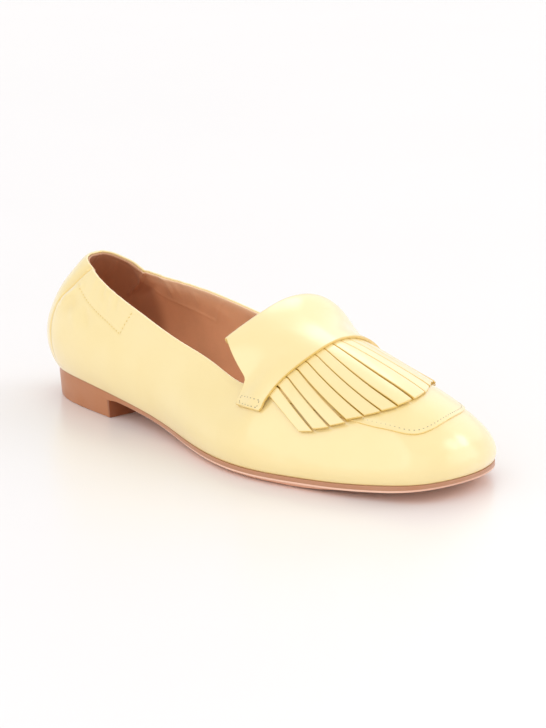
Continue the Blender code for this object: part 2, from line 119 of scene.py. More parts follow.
# Side view of the bottom: the feather line, the sole's underside, how high its edge is rounded
# and how far its edge stands out of the feather line
Profile = namedtuple("Profile", "along feather floor rounded proud")
PROFILE = [
    Profile(0.0, 13.2, 9.8, 0.1, -0.8),
    Profile(20.0, 13.2, 9.8, 0.1, -0.8),
    Profile(45.0, 12.7, 9.3, 0.1, -0.8),
    Profile(70.0, 11.0, 7.4, 0.2, -0.6),
    Profile(95.0, 8.4, 4.4, 0.7, -0.1),
    Profile(120.0, 5.8, 1.5, 1.2, 0.3),
    Profile(145.0, 4.5, -0.1, 1.6, 0.6),
    Profile(170.0, 4.3, -0.3, 1.7, 0.7),
    Profile(195.0, 4.8, 0.1, 1.6, 0.7),
    Profile(220.0, 5.8, 1.6, 1.2, 0.6),
    Profile(250.0, 8.9, 5.6, 0.6, 0.4),
]

# Strap and tongue: angle from the top, front edge, back edge, where it leaves the vamp,
# then the length and the distance from the axis of the tongue's fold
Strap = namedtuple("Strap", "angle front back leave fold reach")
STRAP = [
    Strap(-72.2, 173.4, 158.8, 158.8, 143.8, 41.0),
    Strap(-69.5, 174.1, 159.0, 159.0, 143.8, 41.0),
    Strap(-65.0, 174.9, 159.2, 160.0, 143.8, 41.0),
    Strap(-56.0, 176.0, 159.8, 165.0, 143.8, 41.0),
    Strap(-39.0, 178.7, 143.8, 167.8, 143.8, 41.0),
    Strap(-30.5, 179.9, 145.6, 169.0, 145.6, 40.9),
    Strap(-16.5, 181.0, 147.4, 171.5, 147.4, 41.4),
    Strap(0.0, 180.6, 148.2, 172.5, 148.2, 43.8),
    Strap(12.5, 179.6, 148.4, 171.5, 148.4, 45.6),
    Strap(21.0, 178.5, 148.3, 170.0, 148.3, 46.4),
    Strap(30.0, 177.2, 148.0, 168.4, 148.0, 46.5),
    Strap(45.0, 174.9, 146.6, 167.0, 146.6, 45.4),
    Strap(62.0, 172.6, 158.8, 163.0, 146.6, 43.0),
    Strap(67.0, 171.9, 159.3, 160.0, 146.6, 43.0),
    Strap(71.0, 171.2, 159.2, 159.2, 146.6, 43.0),
    Strap(74.0, 170.6, 159.0, 159.0, 146.6, 43.0),
]
AXIS_HEIGHT = 15.0
AXIS_SIDE = -5.0
TONGUE_CORNERS = (-39.0, 45.0)
TONGUE_RISE = 0.05
LEAVE_RUN = 4.0
STRAP_SEWN = (70.0, 54.0)
FOLD_REACH = 11.0
FOLD_REACH_CORNER = 3.0
FOLD_SINK = 0.8
STRAP_LIFT = 1.6
STRAP_LIFT_SEWN = 0.45
LIFT_FADE = (65.0, 71.0)
EVEN_REACH = 1.6
EVEN_STEPS = 9
EVEN_FADE = (4.0, 7.0)

# Fringe: angle of a slit at the strap, then its angle and place at the tips
Slit = namedtuple("Slit", "root tip along")
SLITS = [
    Slit(-62.6, -78.4, 193.7),
    Slit(-54.8, -75.1, 199.4),
    Slit(-47.0, -70.2, 205.0),
    Slit(-39.1, -63.2, 210.2),
    Slit(-31.3, -54.8, 215.3),
    Slit(-23.5, -45.0, 220.2),
    Slit(-15.7, -32.5, 223.6),
    Slit(-7.8, -13.6, 224.7),
    Slit(0.0, 9.0, 222.8),
    Slit(7.8, 25.0, 218.6),
    Slit(23.5, 47.0, 209.8),
    Slit(39.1, 62.5, 202.2),
    Slit(54.8, 73.0, 194.4),
    Slit(62.6, 77.0, 190.2),
]
FRINGE_STRIPS = 16
FRINGE_TUCK = 6.0
FRINGE_LIFT = 0.7
SLIT_START = 0.02
TUCK_ROWS = [-1.0, -0.8, -0.6, -0.4]
ROOT_ROW = -0.2
CURL_POWER = 2.5
TWIST_POWER = 2

# Opening of each slit at the strap and at the tips, lateral side to medial side
Gap = namedtuple("Gap", "root tip")
GAPS = [
    Gap(0.55, 0.80),
    Gap(0.20, 0.60),
    Gap(0.30, 1.10),
    Gap(0.18, 0.48),
    Gap(0.16, 0.45),
    Gap(0.20, 0.65),
    Gap(0.28, 1.15),
    Gap(0.12, 0.40),
    Gap(0.18, 0.45),
    Gap(0.25, 0.65),
    Gap(0.20, 0.50),
    Gap(0.30, 0.75),
    Gap(0.25, 0.55),
    Gap(0.30, 0.70),
    Gap(0.40, 0.80),
]
OUTER_GAP = Gap(0.3, 0.6)

# How far each strip's tip stands off the vamp, and how much higher its medial edge is
Strip = namedtuple("Strip", "lift twist")
STRIPS = [
    Strip(0.45, 0.1),
    Strip(0.95, -0.2),
    Strip(0.70, 0.2),
    Strip(1.05, -0.3),
    Strip(0.80, 0.1),
    Strip(0.70, -0.1),
    Strip(1.00, 0.2),
    Strip(0.75, -0.3),
    Strip(0.60, 0.1),
    Strip(0.90, 0.2),
    Strip(0.70, -0.2),
    Strip(1.00, 0.1),
    Strip(0.80, -0.1),
    Strip(0.95, 0.3),
    Strip(0.70, -0.2),
    Strip(0.45, -0.1),
]

# Apron seam across the toe in plan, from under the fringe on the lateral side round to the medial side
Apron = namedtuple("Apron", "along across")
APRON = [
    Apron(176.0, -36.6),
    Apron(188.0, -34.8),
    Apron(200.0, -31.8),
    Apron(211.7, -28.7),
    Apron(216.4, -27.4),
    Apron(225.4, -24.6),
    Apron(231.5, -21.9),
    Apron(234.5, -19.0),
    Apron(236.2, -14.9),
    Apron(236.6, -9.2),
    Apron(235.5, -2.0),
    Apron(231.9, 7.9),
    Apron(225.1, 18.4),
    Apron(216.0, 23.6),
    Apron(204.0, 27.2),
    Apron(190.0, 29.8),
    Apron(176.0, 31.5),
]
APRON_SPINE = (202.0, 176.0)
APRON_SINK = 0.1
APRON_SEAM_DIP = 0.16
APRON_SEAM_WIDTH = 0.5

# Lower line and front line of the elastic heel band, on both sides: length, and distance under the topline
Band = namedtuple("Band", "along below")
BAND_LOWER = [
    Band(37.2, 8.4),
    Band(40.1, 9.7),
    Band(47.4, 10.8),
    Band(56.0, 11.1),
    Band(62.8, 11.4),
    Band(73.5, 12.6),
]
BAND_FRONT = [
    Band(73.5, 12.6),
    Band(74.9, 8.6),
    Band(77.0, 4.6),
    Band(78.6, 1.4),
]

# Creases of the upper: width, height, strength of their painted golden shade, strength at both ends,
# then the path's points, each with its length, side and height
Crease = namedtuple("Crease", "width height tint start end path")
CREASES = [
    Crease(0.85, -1.15, 1.0, 0.9, 1.0,
           [(39.4, -17.5, 58.9), (34.8, -19.0, 54.5), (30.7, -19.9, 50.6), (27.1, -20.2, 47.6),
            (24.1, -20.6, 44.2)]),
    Crease(1.0, -0.4, 1.0, 1.0, 0.5,
           [(24.1, -20.6, 44.2), (22.0, -21.2, 40.6), (20.6, -22.2, 36.2), (20.3, -23.1, 31.8),
            (20.9, -24.0, 27.3), (21.6, -23.7, 22.4), (22.8, -22.8, 18.0)]),
    Crease(2.4, -0.85, 0.28, 1.0, 0.3,
           [(38.6, -16.6, 59.6), (33.8, -18.0, 55.2), (29.6, -18.9, 51.4), (26.0, -19.2, 48.4),
            (22.4, -19.4, 44.8)]),
    Crease(1.6, 1.0, 0.0, 0.4, 0.1,
           [(39.5, -21.4, 51.7), (35.8, -21.7, 49.4), (32.1, -22.1, 47.0), (28.3, -22.1, 44.4),
            (25.9, -22.4, 41.9)]),
    Crease(3.4, -0.45, 0.22, 0.2, 0.4,
           [(41.8, -23.9, 46.2), (37.5, -24.1, 44.5), (32.9, -24.0, 42.3), (28.9, -23.9, 40.2)]),
    Crease(2.6, -0.4, 0.1, 0.2, 0.0,
           [(44.0, -24.4, 46.0), (48.7, -26.6, 41.0), (53.4, -28.1, 37.3)]),
    Crease(3.2, 0.35, 0.0, 0.3, 0.0,
           [(36.0, -23.6, 44.5), (40.0, -26.0, 38.0), (43.5, -27.3, 32.0)]),
    Crease(0.85, -1.0, 1.0, 0.7, 0.7,
           [(38.0, 16.6, 54.4), (33.5, 19.2, 49.5), (29.0, 20.4, 45.8), (22.0, 20.6, 40.5)]),
    Crease(2.4, -0.7, 0.2, 0.8, 0.1,
           [(37.2, 15.6, 55.2), (32.6, 18.2, 50.4), (28.0, 19.4, 46.8), (21.2, 19.8, 41.5)]),
    Crease(1.8, 0.7, 0.0, 0.5, 0.0,
           [(39.5, 21.4, 46.8), (33.5, 22.4, 43.6), (26.0, 22.2, 38.6)]),
    Crease(1.4, -0.5, 0.3, 0.2, 0.0,
           [(27.0, -8.5, 61.8), (22.5, -11.0, 56.5), (17.5, -12.2, 51.5)]),
    Crease(1.4, -0.45, 0.3, 0.2, 0.0,
           [(27.0, 8.5, 60.0), (22.5, 11.2, 55.0), (17.5, 12.4, 50.0)]),
    Crease(1.5, -0.3, 0.1, 0.1, 0.0,
           [(55.0, -22.4, 55.6), (57.0, -24.0, 51.0), (57.8, -25.0, 47.6)]),
    Crease(1.3, -0.25, 0.1, 0.1, 0.0,
           [(66.0, -24.4, 53.6), (67.2, -25.6, 49.6), (67.6, -26.5, 46.0)]),
    Crease(1.5, -0.35, 0.1, 0.0, 0.0,
           [(50.0, 20.4, 51.2), (52.5, 23.0, 46.4), (53.0, 24.4, 42.4)]),
    Crease(1.5, -0.35, 0.1, 0.0, 0.0,
           [(61.0, 23.0, 48.6), (62.8, 24.6, 44.0), (63.0, 25.6, 40.6)]),
]

# Creases pressed into the lining in the same way
LINING_CREASES = [
    Crease(1.8, 0.7, 0.0, 0.4, 0.0, [(66.0, 20.0, 43.0), (76.0, 22.4, 40.0), (88.0, 24.0, 36.0)]),
    Crease(2.4, -0.5, 0.0, 0.2, 0.0, [(58.0, 20.4, 40.0), (70.0, 22.8, 36.0), (84.0, 24.4, 31.5)]),
    Crease(2.0, 0.5, 0.0, 0.0, 0.0, [(49.0, 19.8, 43.0), (60.0, 22.4, 35.0), (66.0, 23.4, 28.0)]),
    Crease(1.6, 0.6, 0.0, 0.6, 0.0, [(33.0, 13.0, 56.0), (34.5, 17.0, 48.0), (34.0, 20.0, 40.0)]),
    Crease(1.6, 0.6, 0.0, 0.6, 0.0, [(47.0, 18.6, 51.0), (48.5, 20.6, 46.0), (48.0, 22.0, 40.0)]),
    Crease(2.0, 0.5, 0.0, 0.3, 0.0, [(24.0, 7.0, 60.0), (19.0, 11.0, 50.0), (18.0, 13.0, 40.0)]),
    Crease(2.0, 0.5, 0.0, 0.3, 0.0, [(60.0, -22.0, 50.0), (72.0, -24.4, 44.0), (88.0, -26.4, 36.0)]),
]

# Relief of the upper: back seam, heel band and topline, in millimetres, with the painted golden shade of
# the grooves
Groove = namedtuple("Groove", "width depth tint")
BACK_SEAM = Groove(0.55, 0.3, 0.6)
BACK_SEAM_END = 40.0
BAND_LINE = Groove(0.75, 0.16, 0.15)
TOPLINE_ROLL = 0.4
TOPLINE_ROLL_WIDTH = 1.5
NO_TOPLINE = 99.0
CALM_OVER_SOLE = 3.0

# Gathers round the heel: how far they reach down and forward, and their waves in radians per millimetre
GATHER_REACH = 8.0
GATHER_FADE = (84.0, 60.0)
HEEL_MIDDLE = 60.0
HEEL_RADIUS = 30.0
RIPPLE = 0.55
RIPPLE_DRIFT = 0.6
RIPPLE_DRIFT_WAVE = 0.27
FINE_RIPPLE = 0.98
FINE_RIPPLE_SHARE = 0.5
FINE_RIPPLE_START = 1.3

# Slow waves of the leather's unevenness, in pairs: radians per millimetre along, across and up, and start
Swell = namedtuple("Swell", "along across up start")
SWELLS = [
    Swell(0.21, 0.0, 0.17, 0.8),
    Swell(-0.08, 0.0, 0.24, 0.0),
    Swell(0.11, -0.19, 0.0, 2.1),
    Swell(0.0, 0.16, 0.12, np.pi / 2),
]
UNEVEN = 0.04
UNEVEN_HEEL = 0.12
UNEVEN_FADE = (110.0, 60.0)

# Golden shade under the fringe: how it fades in from its sides in degrees, from the strap and from the tips
SHADE_SIDES = (0.5, 2.5)
SHADE_ROOTS = (-4.0, -2.0)
SHADE_TIPS = (0.4, 1.6)

# Lining: gap to the leather, heel grip of darker napped leather deepened by painted shade, and a paler
# band of painted highlight along its edge, which is wider round the heel
LINING_GAP = 0.08
GRIP_END = 38.0
GRIP_FADE = 4.0
GRIP_THICK = 0.3
GRIP_COVERS = 0.75
LINING_RIM_HIGHLIGHT = 2.0
LINING_RIM_HIGHLIGHT_HEEL = 1.4
LINING_RIM_HIGHLIGHT_FADE = (90.0, 35.0)

# How finely the leather is cut into faces
RIBS_BETWEEN = [40, 42, 52, 40, 28, 24, 22, 20, 20, 18, 20, 20, 20]
SEAM_ROWS = [0.012, 0.037, 0.062]
WALL_LEVELS = 96
HIDDEN_STEP = 8
COARSE_STEP = 3
ROLL_STEPS = 7
OUTLINE_POINTS = 480
LINE_STEPS = 90
EDGE_STEPS = [0.0, 0.02, 0.07, 0.15, 0.28, 0.5]
EDGE_ROUND = 0.38
EDGE_POWER = 3
HALF_STEP = 0.5
ROW_DIGITS = 5
WELD_DIGITS = 4
TINY = 1e-12

# Strap, fringe and apron: how long and wide they are at most, and the size of their faces
EDGE_DEGREE = 0.7
STRAP_END_COLUMNS = 46
TONGUE_COLUMNS = 62
STRAP_LONG = 34.0
FOLD_STEPS = 16
FLAP_LONG = 10.0
STRIP_WIDE = 4.2
STRIP_LONG = 32.0
APRON_DEEP = 34.0
APRON_COLUMNS = 241
APRON_STEP = 0.75
FINE_STEP = 0.62
LONG_STEP = 0.8
APRON_FINE = 2000

# How wide the golden tint of the cut edges is, their own colour with painted shade along them,
# and how strong it is on the apron
EDGE_TINT = 0.3
FRINGE_EDGE_TINT = 0.28
APRON_EDGE_SHARE = 0.95

# Table of the taut surface under the strap: its angles and lengths, each first, last and count,
# and the widths of its two blurs
SEAT_ANGLES = (-76.0, 78.0, 78)
SEAT_LENGTHS = (143.0, 182.0, 40)
SEAT_BLUR = (3.5, 3.0)
SEAT_FINISH = (2.0, 1.5)
BLUR_REACH = 3

# Shape of a stitch: faces round it and along it, its taper, its blunt tip, its bow and how its ends dive
STITCH_SIDES = 8
STITCH_RINGS = 9
STITCH_TAPER = 2.6
STITCH_TIP = 0.015
STITCH_BOW = 0.25
STITCH_DIVE = 0.55

# Rows of stitches: how deep they lie in the leather, where they run, and how finely their lines are drawn
APRON_STITCH_SINK = 0.26
APRON_STITCH_START = 186.0
APRON_LINE_POINTS = 900
STRAP_STITCH_SINK = 0.08
BOX_OUTER = 70.6
BOX_INNER = 66.2
BOX_FRONT = 1.9
BOX_BACK = 1.6
BOX_STEPS = 12
BOX_SPREAD = 1.08
BAND_LINE_POINTS = 200
WAY_STEP = 0.2
SLOPE_STEP = 0.6

# How a drawn line is felt: to how many widths, and where along it is at full strength
LINE_REACH = 3
LINE_FULL = (0.3, 0.6)

# How a place on the wall is found: from how many points, and how evenly they weigh
NEAR_POINTS = 4
NEAR_EVEN = 0.01
OTHER_SIDE = 1e3


def spline(knots, values, at, period=None):
    """Cubic spline through the values, closed when a period is given, otherwise with free ends."""
    t = np.asarray(knots, float)
    v = np.asarray(values, float)
    at = np.asarray(at, float)
    n = len(t)
    wide = (-1,) + (1,) * (v.ndim - 1)
    if period is None:
        h = np.diff(t)
        d = np.diff(v, axis=0) / h.reshape(wide)
        a = np.eye(n)
        b = np.zeros(v.shape)
        for k in range(1, n - 1):
            a[k, k - 1:k + 2] = h[k - 1], 2 * (h[k - 1] + h[k]), h[k]
            b[k] = 6 * (d[k] - d[k - 1])
        i = np.clip(np.searchsorted(t, at, "right") - 1, 0, n - 2)
        j = i + 1
    else:
        h = np.diff(np.append(t, t[0] + period))
        d = (np.roll(v, -1, 0) - v) / h.reshape(wide)
        a = np.zeros((n, n))
        for k in range(n):
            a[k, k - 1] = h[k - 1]
            a[k, k] = 2 * (h[k - 1] + h[k])
            a[k, (k + 1) % n] = h[k]
        b = 6 * (d - np.roll(d, 1, 0))
        at = (at - t[0]) % period + t[0]
        i = np.clip(np.searchsorted(t, at, "right") - 1, 0, n - 1)
        j = (i + 1) % n
    m = np.linalg.solve(a, b.reshape(n, -1)).reshape(v.shape)
    wide = at.shape + (1,) * (v.ndim - 1)
    gap = h[i].reshape(wide)
    s = (at - t[i]).reshape(wide)
    r = gap - s
    bend = (m[i] * r**3 + m[j] * s**3) / (6 * gap)
    return bend + (v[i] / gap - m[i] * gap / 6) * r + (v[j] / gap - m[j] * gap / 6) * s


def column(table, name):
    """One column of a table."""
    return np.array([getattr(row, name) for row in table], float)


def chords(points):
    """Length along a closed run of points to each of them, and the whole length."""
    steps = np.linalg.norm(np.roll(points, -1, 0) - points, axis=1)
    return np.concatenate([[0], np.cumsum(steps)[:-1]]), steps.sum()


def around(rows, side_values, last):
    """Rows from the heel along the lateral side to the given row, then back along the medial side."""
    lateral = [side_values(row, -1) for row in rows[:last + 1]]
    medial = [side_values(row, 1) for row in rows[1:last]]
    return np.array(lateral + medial[::-1], float)


LAST_ROW = len(FEATHER) - 1
FEATHER_LOOP = around(
    FEATHER,
    lambda f, s: (f.along, -f.lateral) if s < 0 else (f.along, f.medial),
    LAST_ROW,
)
FEATHER_AT, FEATHER_LONG = chords(FEATHER_LOOP)
COLLAR_LOOP = around(
    TOP,
    lambda t, s: (t.along, -t.lateral, t.height_lateral) if s < 0 else (t.along, t.medial, t.height_medial),
    THROAT,
)
COLLAR_AT, COLLAR_LONG = chords(COLLAR_LOOP)
RIDGE = np.array([(t.along, -t.lateral, t.height_lateral) for t in TOP[THROAT:]])


def profile(name, x):
    """A height of the side view at the lengths given."""
    return spline(column(PROFILE, "along"), column(PROFILE, name), x)


def under_sole(x):
    """Underside of the sole, never under the ground."""
    return np.maximum(profile("floor", x), 0.0)


def ridge_height(x):
    """Height of the vamp's ridge at the lengths given."""
    return spline(RIDGE[:, 0], RIDGE[:, 2], x)


def loop_place(row, side, at, whole, last):
    """Turn section numbers into lengths along a closed loop, on the side given."""
    if side < 0:
        return spline(range(last + 1), at[:last + 1], row)
    back = np.append(at[last:], whole)[::-1]
    return spline(range(last + 1), back, row)


def feather(row, side):
    """Points of the feather line and the level directions pointing into the shoe."""
    s = loop_place(row, side, FEATHER_AT, FEATHER_LONG, LAST_ROW)
    p = spline(FEATHER_AT, FEATHER_LOOP, s, FEATHER_LONG)
    ahead = spline(FEATHER_AT, FEATHER_LOOP, s + HALF_STEP, FEATHER_LONG)
    behind = spline(FEATHER_AT, FEATHER_LOOP, s - HALF_STEP, FEATHER_LONG)
    run = ahead - behind
    run = run / np.linalg.norm(run, axis=1)[:, None]
    inward = np.stack([-run[:, 1], run[:, 0]], -1)
    return np.column_stack([p, profile("feather", p[:, 0])]), inward


def tops(row, side):
    """Top points of the ribs: on the collar behind the throat, on the ridge in front of it."""
    on_collar = np.minimum(row, THROAT)
    q = loop_place(on_collar, side, COLLAR_AT, COLLAR_LONG, THROAT)
    collar = spline(COLLAR_AT, COLLAR_LOOP, q, COLLAR_LONG)
    rows = range(len(RIDGE))
    x = spline(rows, RIDGE[:, 0], np.maximum(row - THROAT, 0))
    ridge = np.column_stack([x, spline(RIDGE[:, 0], RIDGE[:, 1], x), ridge_height(x)])
    rise = (ridge_height(x + HALF_STEP) - ridge_height(x - HALF_STEP)) / (2 * HALF_STEP)
    slope = rise * np.clip(row - THROAT + 1, 0, 1)
    return np.where((row < THROAT)[:, None], collar, ridge), slope


def handles(side):
    """Points that draw each section's wall outward above the sole and inward below its top."""
    row = np.arange(LAST_ROW + 1.0)
    foot, inward = feather(row, side)
    top, slope = tops(row, side)
    out, up, lean, down = np.array(WALL_SHAPE).T
    low = foot + np.column_stack([-inward * out[:, None], up])
    high = top + np.column_stack([-inward * lean[:, None], -down - slope * inward[:, 0] * lean])
    return np.concatenate([low, high], 1)


HANDLES = np.concatenate([handles(-1), handles(1)[-2:0:-1]])


def rib_handles(row, side):
    """Lower and upper handles of the ribs."""
    count = len(HANDLES)
    drawn = spline(range(count), HANDLES, row if side < 0 else count - row, count)
    return drawn[:, :3], drawn[:, 3:]


def ribs(row, side, level):
    """Outer surface of the upper, ribs by levels."""
    foot = feather(row, side)[0]
    top = tops(row, side)[0]
    low, high = rib_handles(row, side)
    t = level[:, :, None]
    a = foot[:, None] * (1 - t)**3 + 3 * low[:, None] * t * (1 - t)**2
    return a + 3 * high[:, None] * t**2 * (1 - t) + top[:, None] * t**3


def quads(number, closed):
    """Faces of a grid of point numbers, ribs by levels."""
    here = number if closed else number[:-1]
    after = np.roll(number, -1, 0) if closed else number[1:]
    return np.stack([here[:, :-1], after[:, :-1], after[:, 1:], here[:, 1:]], -1).reshape(-1, 4)


def wall_grid(step=1, drop=0.0):
    """Outer surface of the upper, ending under its topline by the drop: points, rib numbers and depths."""
    runs = [np.arange(0, n, step) / n + k for k, n in enumerate(RIBS_BETWEEN)]
    row = np.unique(np.round(np.concatenate([*runs, SEAM_ROWS, [LAST_ROW]]), ROW_DIGITS))
    level = np.linspace(0, 1, WALL_LEVELS // step + 1)
    halves = []
    for side, rows in ((-1, row), (1, row[1:-1])):
        run = 3 * np.linalg.norm(tops(rows, side)[0] - rib_handles(rows, side)[1], axis=1)
        end = np.where(rows < THROAT, 1 - drop / run, 1.0)
        halves.append(ribs(rows, side, level[None] * end[:, None]))
    grid = np.concatenate([halves[0], halves[1][::-1]])
    count = len(grid)
    number = np.arange(count * len(level)).reshape(count, len(level))
    front = np.nonzero(row >= THROAT)[0][:-1]
    number[count - front, -1] = number[front, -1]
    steps = np.linalg.norm(np.diff(grid, axis=1), axis=2)
    below = np.zeros(number.shape)
    below[:, :-1] = np.cumsum(steps[:, ::-1], 1)[:, ::-1]
    below[np.concatenate([row, row[1:-1][::-1]]) >= THROAT] = NO_TOPLINE
    return grid.reshape(-1, 3), number, below.ravel()


def point_normals(points, faces):
    """Unit normals at the points, each face weighing by its size."""
    p = points[faces]
    across = np.cross(p[:, 2] - p[:, 0], p[:, 3] - p[:, 1])
    total = np.zeros_like(points)
    for k in range(4):
        np.add.at(total, faces[:, k], across)
    return total / np.maximum(np.linalg.norm(total, axis=1), TINY)[:, None]


def rim_edges(faces):
    """Edges that only one face uses, in the direction that the face runs."""
    a = faces.ravel()
    b = np.roll(faces, -1, 1).ravel()
    a, b = a[a != b], b[a != b]
    count = faces.max() + 1
    free = ~np.isin(a * count + b, b * count + a)
    return np.column_stack([a[free], b[free]])


def nearest(points, targets):
    """Nearest target to each point: its number and its distance."""
    tree = KDTree(len(targets))
    for k, target in enumerate(targets):
        tree.insert(target, k)
    tree.balance()
    found = [tree.find(p) for p in points]
    return np.array([f[1] for f in found]), np.array([f[2] for f in found])


def smooth_step(low, high, value):
    """0 under the low value, 1 over the high one, smooth between."""
    t = np.clip((value - low) / (high - low), 0, 1)
    return t * t * (3 - 2 * t)


def line_weight(points, path, width, start=1.0, end=1.0):
    """How strongly each point lies on a drawn line: 1 on it, falling off over the width."""
    line = spline(range(len(path)), path, np.linspace(0, len(path) - 1, LINE_STEPS))
    weight = np.zeros(len(points))
    reach = LINE_REACH * width
    near = ((points > line.min(0) - reach) & (points < line.max(0) + reach)).all(1)
    gap = np.linalg.norm(points[near][:, None] - line[None], axis=2)
    share = gap.argmin(1) / (LINE_STEPS - 1)
    strength = np.interp(share, [0, *LINE_FULL, 1], [start, 1, 1, end])
    weight[near] = np.exp(-(gap.min(1) / width)**2) * strength
    return weight


def creases(points, table):
    """Height of all creases of a table at each point, and the strength of the painted golden shade in them.
    """
    height = np.zeros(len(points))
    tint = np.zeros(len(points))
    for crease in table:
        weight = line_weight(points, crease.path, crease.width, crease.start, crease.end)
        height = height + crease.height * weight
        tint = np.maximum(tint, crease.tint * weight)
    return height, tint


def off_edge(points, normals, rim):
    """Directions in the surface that point off its free edge, at each point of the rim."""
    run = points[rim[:, 1]] - points[rim[:, 0]]
    total = np.zeros_like(points)
    for k in range(2):
        np.add.at(total, rim[:, k], np.cross(run, normals[rim[:, k]]))
    return total / np.maximum(np.linalg.norm(total, axis=1), TINY)[:, None]


def rolled_wall(points, faces, normals, inner, inner_faces, rolled):
    """Close a wall's two sides into one body, its marked rim rolled over and the rest joined flat."""
    count = len(points)
    rim = rim_edges(faces)
    away = off_edge(points, normals, rim)
    half = np.linalg.norm(points - inner, axis=1)[:, None] / 2
    middle = (points + inner) / 2
    outward = (points - inner) / (2 * np.maximum(half, TINY))
    every = [points]
    for turn in np.linspace(0, np.pi, ROLL_STEPS + 1)[1:-1]:
        every.append(middle + half * (outward * cos(turn) + away * sin(turn)))
    every.append(inner)
    last = (len(every) - 1) * count
    parts = [faces, inner_faces[:, ::-1] + last]
    on_roll = rolled[rim].all(1)
    a, b = rim[on_roll].T
    for ring in range(len(every) - 1):
        here = ring * count
        parts.append(np.column_stack([b + here, a + here, a + here + count, b + here + count]))
    a, b = rim[~on_roll].T
    parts.append(np.column_stack([b, a, a + last, b + last]))
    return np.concatenate(every), np.concatenate(parts)


def leather_sheet(points, faces, thick):
    """Give a sheet its thickness, half to each side, with rounded cut edges."""
    normals = point_normals(points, faces)
    rim = np.unique(rim_edges(faces))
    _number, gap = nearest(points, points[rim])
    part = np.clip(gap / EDGE_ROUND, 0, 1)
    half = (thick / 2 * (1 - (1 - part)**EDGE_POWER)**(1 / EDGE_POWER))[:, None]
    count = len(points)
    under = np.arange(count) + count
    under[rim] = rim
    both = np.concatenate([points + normals * half, points - normals * half])
    return both, np.concatenate([faces, under[faces][:, ::-1]]), np.concatenate([gap, gap])


def with_edges(length, step, first=True, last=True):
    """Shares of a length, close together where it ends in a cut edge."""
    lead = np.array(EDGE_STEPS)
    start = lead if first else lead[:1]
    stop = length - (lead if last else lead[:1])
    middle = np.linspace(start[-1], stop[-1], max(int(round((stop[-1] - start[-1]) / step)), 2) + 1)
    return np.concatenate([start[:-1], middle, stop[:-1][::-1]]) / length


def tidy(points, faces, values):
    """Drop points that no face uses, faces without size, and corners that a face names twice."""
    kept = []
    for face in faces.tolist():
        short = [c for k, c in enumerate(face) if c != face[k - 1]]
        if len(short) > 2:
            kept.append(short)
    used = np.unique(np.concatenate([np.array(f) for f in kept]))
    new = np.full(len(points), -1)
    new[used] = np.arange(len(used))
    new = new.tolist()
    return points[used], [[new[c] for c in f] for f in kept], {k: v[used] for k, v in values.items()}


def add_piece(name, points, faces, material, stands_for=None, values=None, sharp=None):
    """Add one piece in the shoe's place, riding with it."""
    points, faces, values = tidy(points, faces, values or {})
    mesh = bpy.data.meshes.new(name)
    mesh.from_pydata(((points - SHOE_CENTRE) * MM).tolist(), [], faces)
    mesh.polygons.foreach_set("use_smooth", [True] * len(faces))
    if sharp:
        mesh.set_sharp_from_angle(angle=radians(sharp))
    for key, value in values.items():
        mesh.attributes.new(key, "FLOAT", "POINT").data.foreach_set("value", value.astype(np.float32))
    mesh.materials.append(material)
    mesh.update()
    piece = bpy.data.objects.new(name, mesh)
    bpy.context.scene.collection.objects.link(piece)
    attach(piece, "root")
    if stands_for:
        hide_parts(stands_for)


def wall_point(side, along, below):
    """Point of the upper's wall at a length and a distance under the topline."""
    points, number, under = wall_grid(COARSE_STEP)
    half = number.shape[0] // 2
    keep = np.zeros(len(points), bool)
    keep[(number[:half] if side < 0 else number[half:]).ravel()] = True
    keep &= points[:, 0] < TOP[THROAT - 2].along
    gap = np.hypot(points[:, 0] - along, under - below) + OTHER_SIDE * ~keep
    best = np.argsort(gap)[:NEAR_POINTS]
    weight = 1 / (gap[best] + NEAR_EVEN)
    return (points[best] * weight[:, None]).sum(0) / weight.sum()


@lru_cache(maxsize=None)
def band_lines(side):
    """The heel band's lower and front stitch lines on one side."""
    lower = np.array([wall_point(side, b.along, b.below) for b in BAND_LOWER])
    front = np.array([wall_point(side, b.along, b.below) for b in BAND_FRONT])
    return lower, front


def gathers(points, below):
    """Slow ripples that the elastic draws under the topline round the heel, in shares of their depth."""
    reach = np.exp(-(below / GATHER_REACH)**2) * smooth_step(*GATHER_FADE, points[:, 0])
    run = np.arctan2(points[:, 1], HEEL_MIDDLE - points[:, 0]) * HEEL_RADIUS
    wave = np.sin(run * RIPPLE + RIPPLE_DRIFT * np.sin(run * RIPPLE_DRIFT_WAVE))
    fine = np.sin(run * FINE_RIPPLE + FINE_RIPPLE_START)
    return (wave + FINE_RIPPLE_SHARE * fine) * reach


def unevenness(points):
    """Slow hollows and swells of leather that was pulled over a last."""
    first, second, third, fourth = [np.sin(points @ swell[:3] + swell.start) for swell in SWELLS]
    return (first * second + third * fourth) / 2


def under_fringe(points):
    """How deep each point of the vamp lies under the fringe, as the share of painted golden shadow there.
    """
    x = points[:, 0]
    angle = np.degrees(np.arctan2(points[:, 1] - AXIS_SIDE, points[:, 2] - AXIS_HEIGHT))
    on_strap = np.clip(angle, STRAP[0].angle, STRAP[-1].angle)
    front = spline(column(STRAP, "angle"), column(STRAP, "front"), on_strap)
    tips = np.interp(angle, column(SLITS, "tip"), column(SLITS, "along"))
    fan = np.clip((x - front) / (tips - front), 0, 1)
    lateral = SLITS[0].root + (SLITS[0].tip - SLITS[0].root) * fan
    medial = SLITS[-1].root + (SLITS[-1].tip - SLITS[-1].root) * fan
    inside = smooth_step(*SHADE_SIDES, np.minimum(angle - lateral, medial - angle))
    return inside * smooth_step(*SHADE_ROOTS, x - front) * smooth_step(*SHADE_TIPS, tips - x)


# fold is the share of painted golden shade: in creases, in seams and under the fringe
Skin = namedtuple("Skin", "smooth normals height fold below number faces")


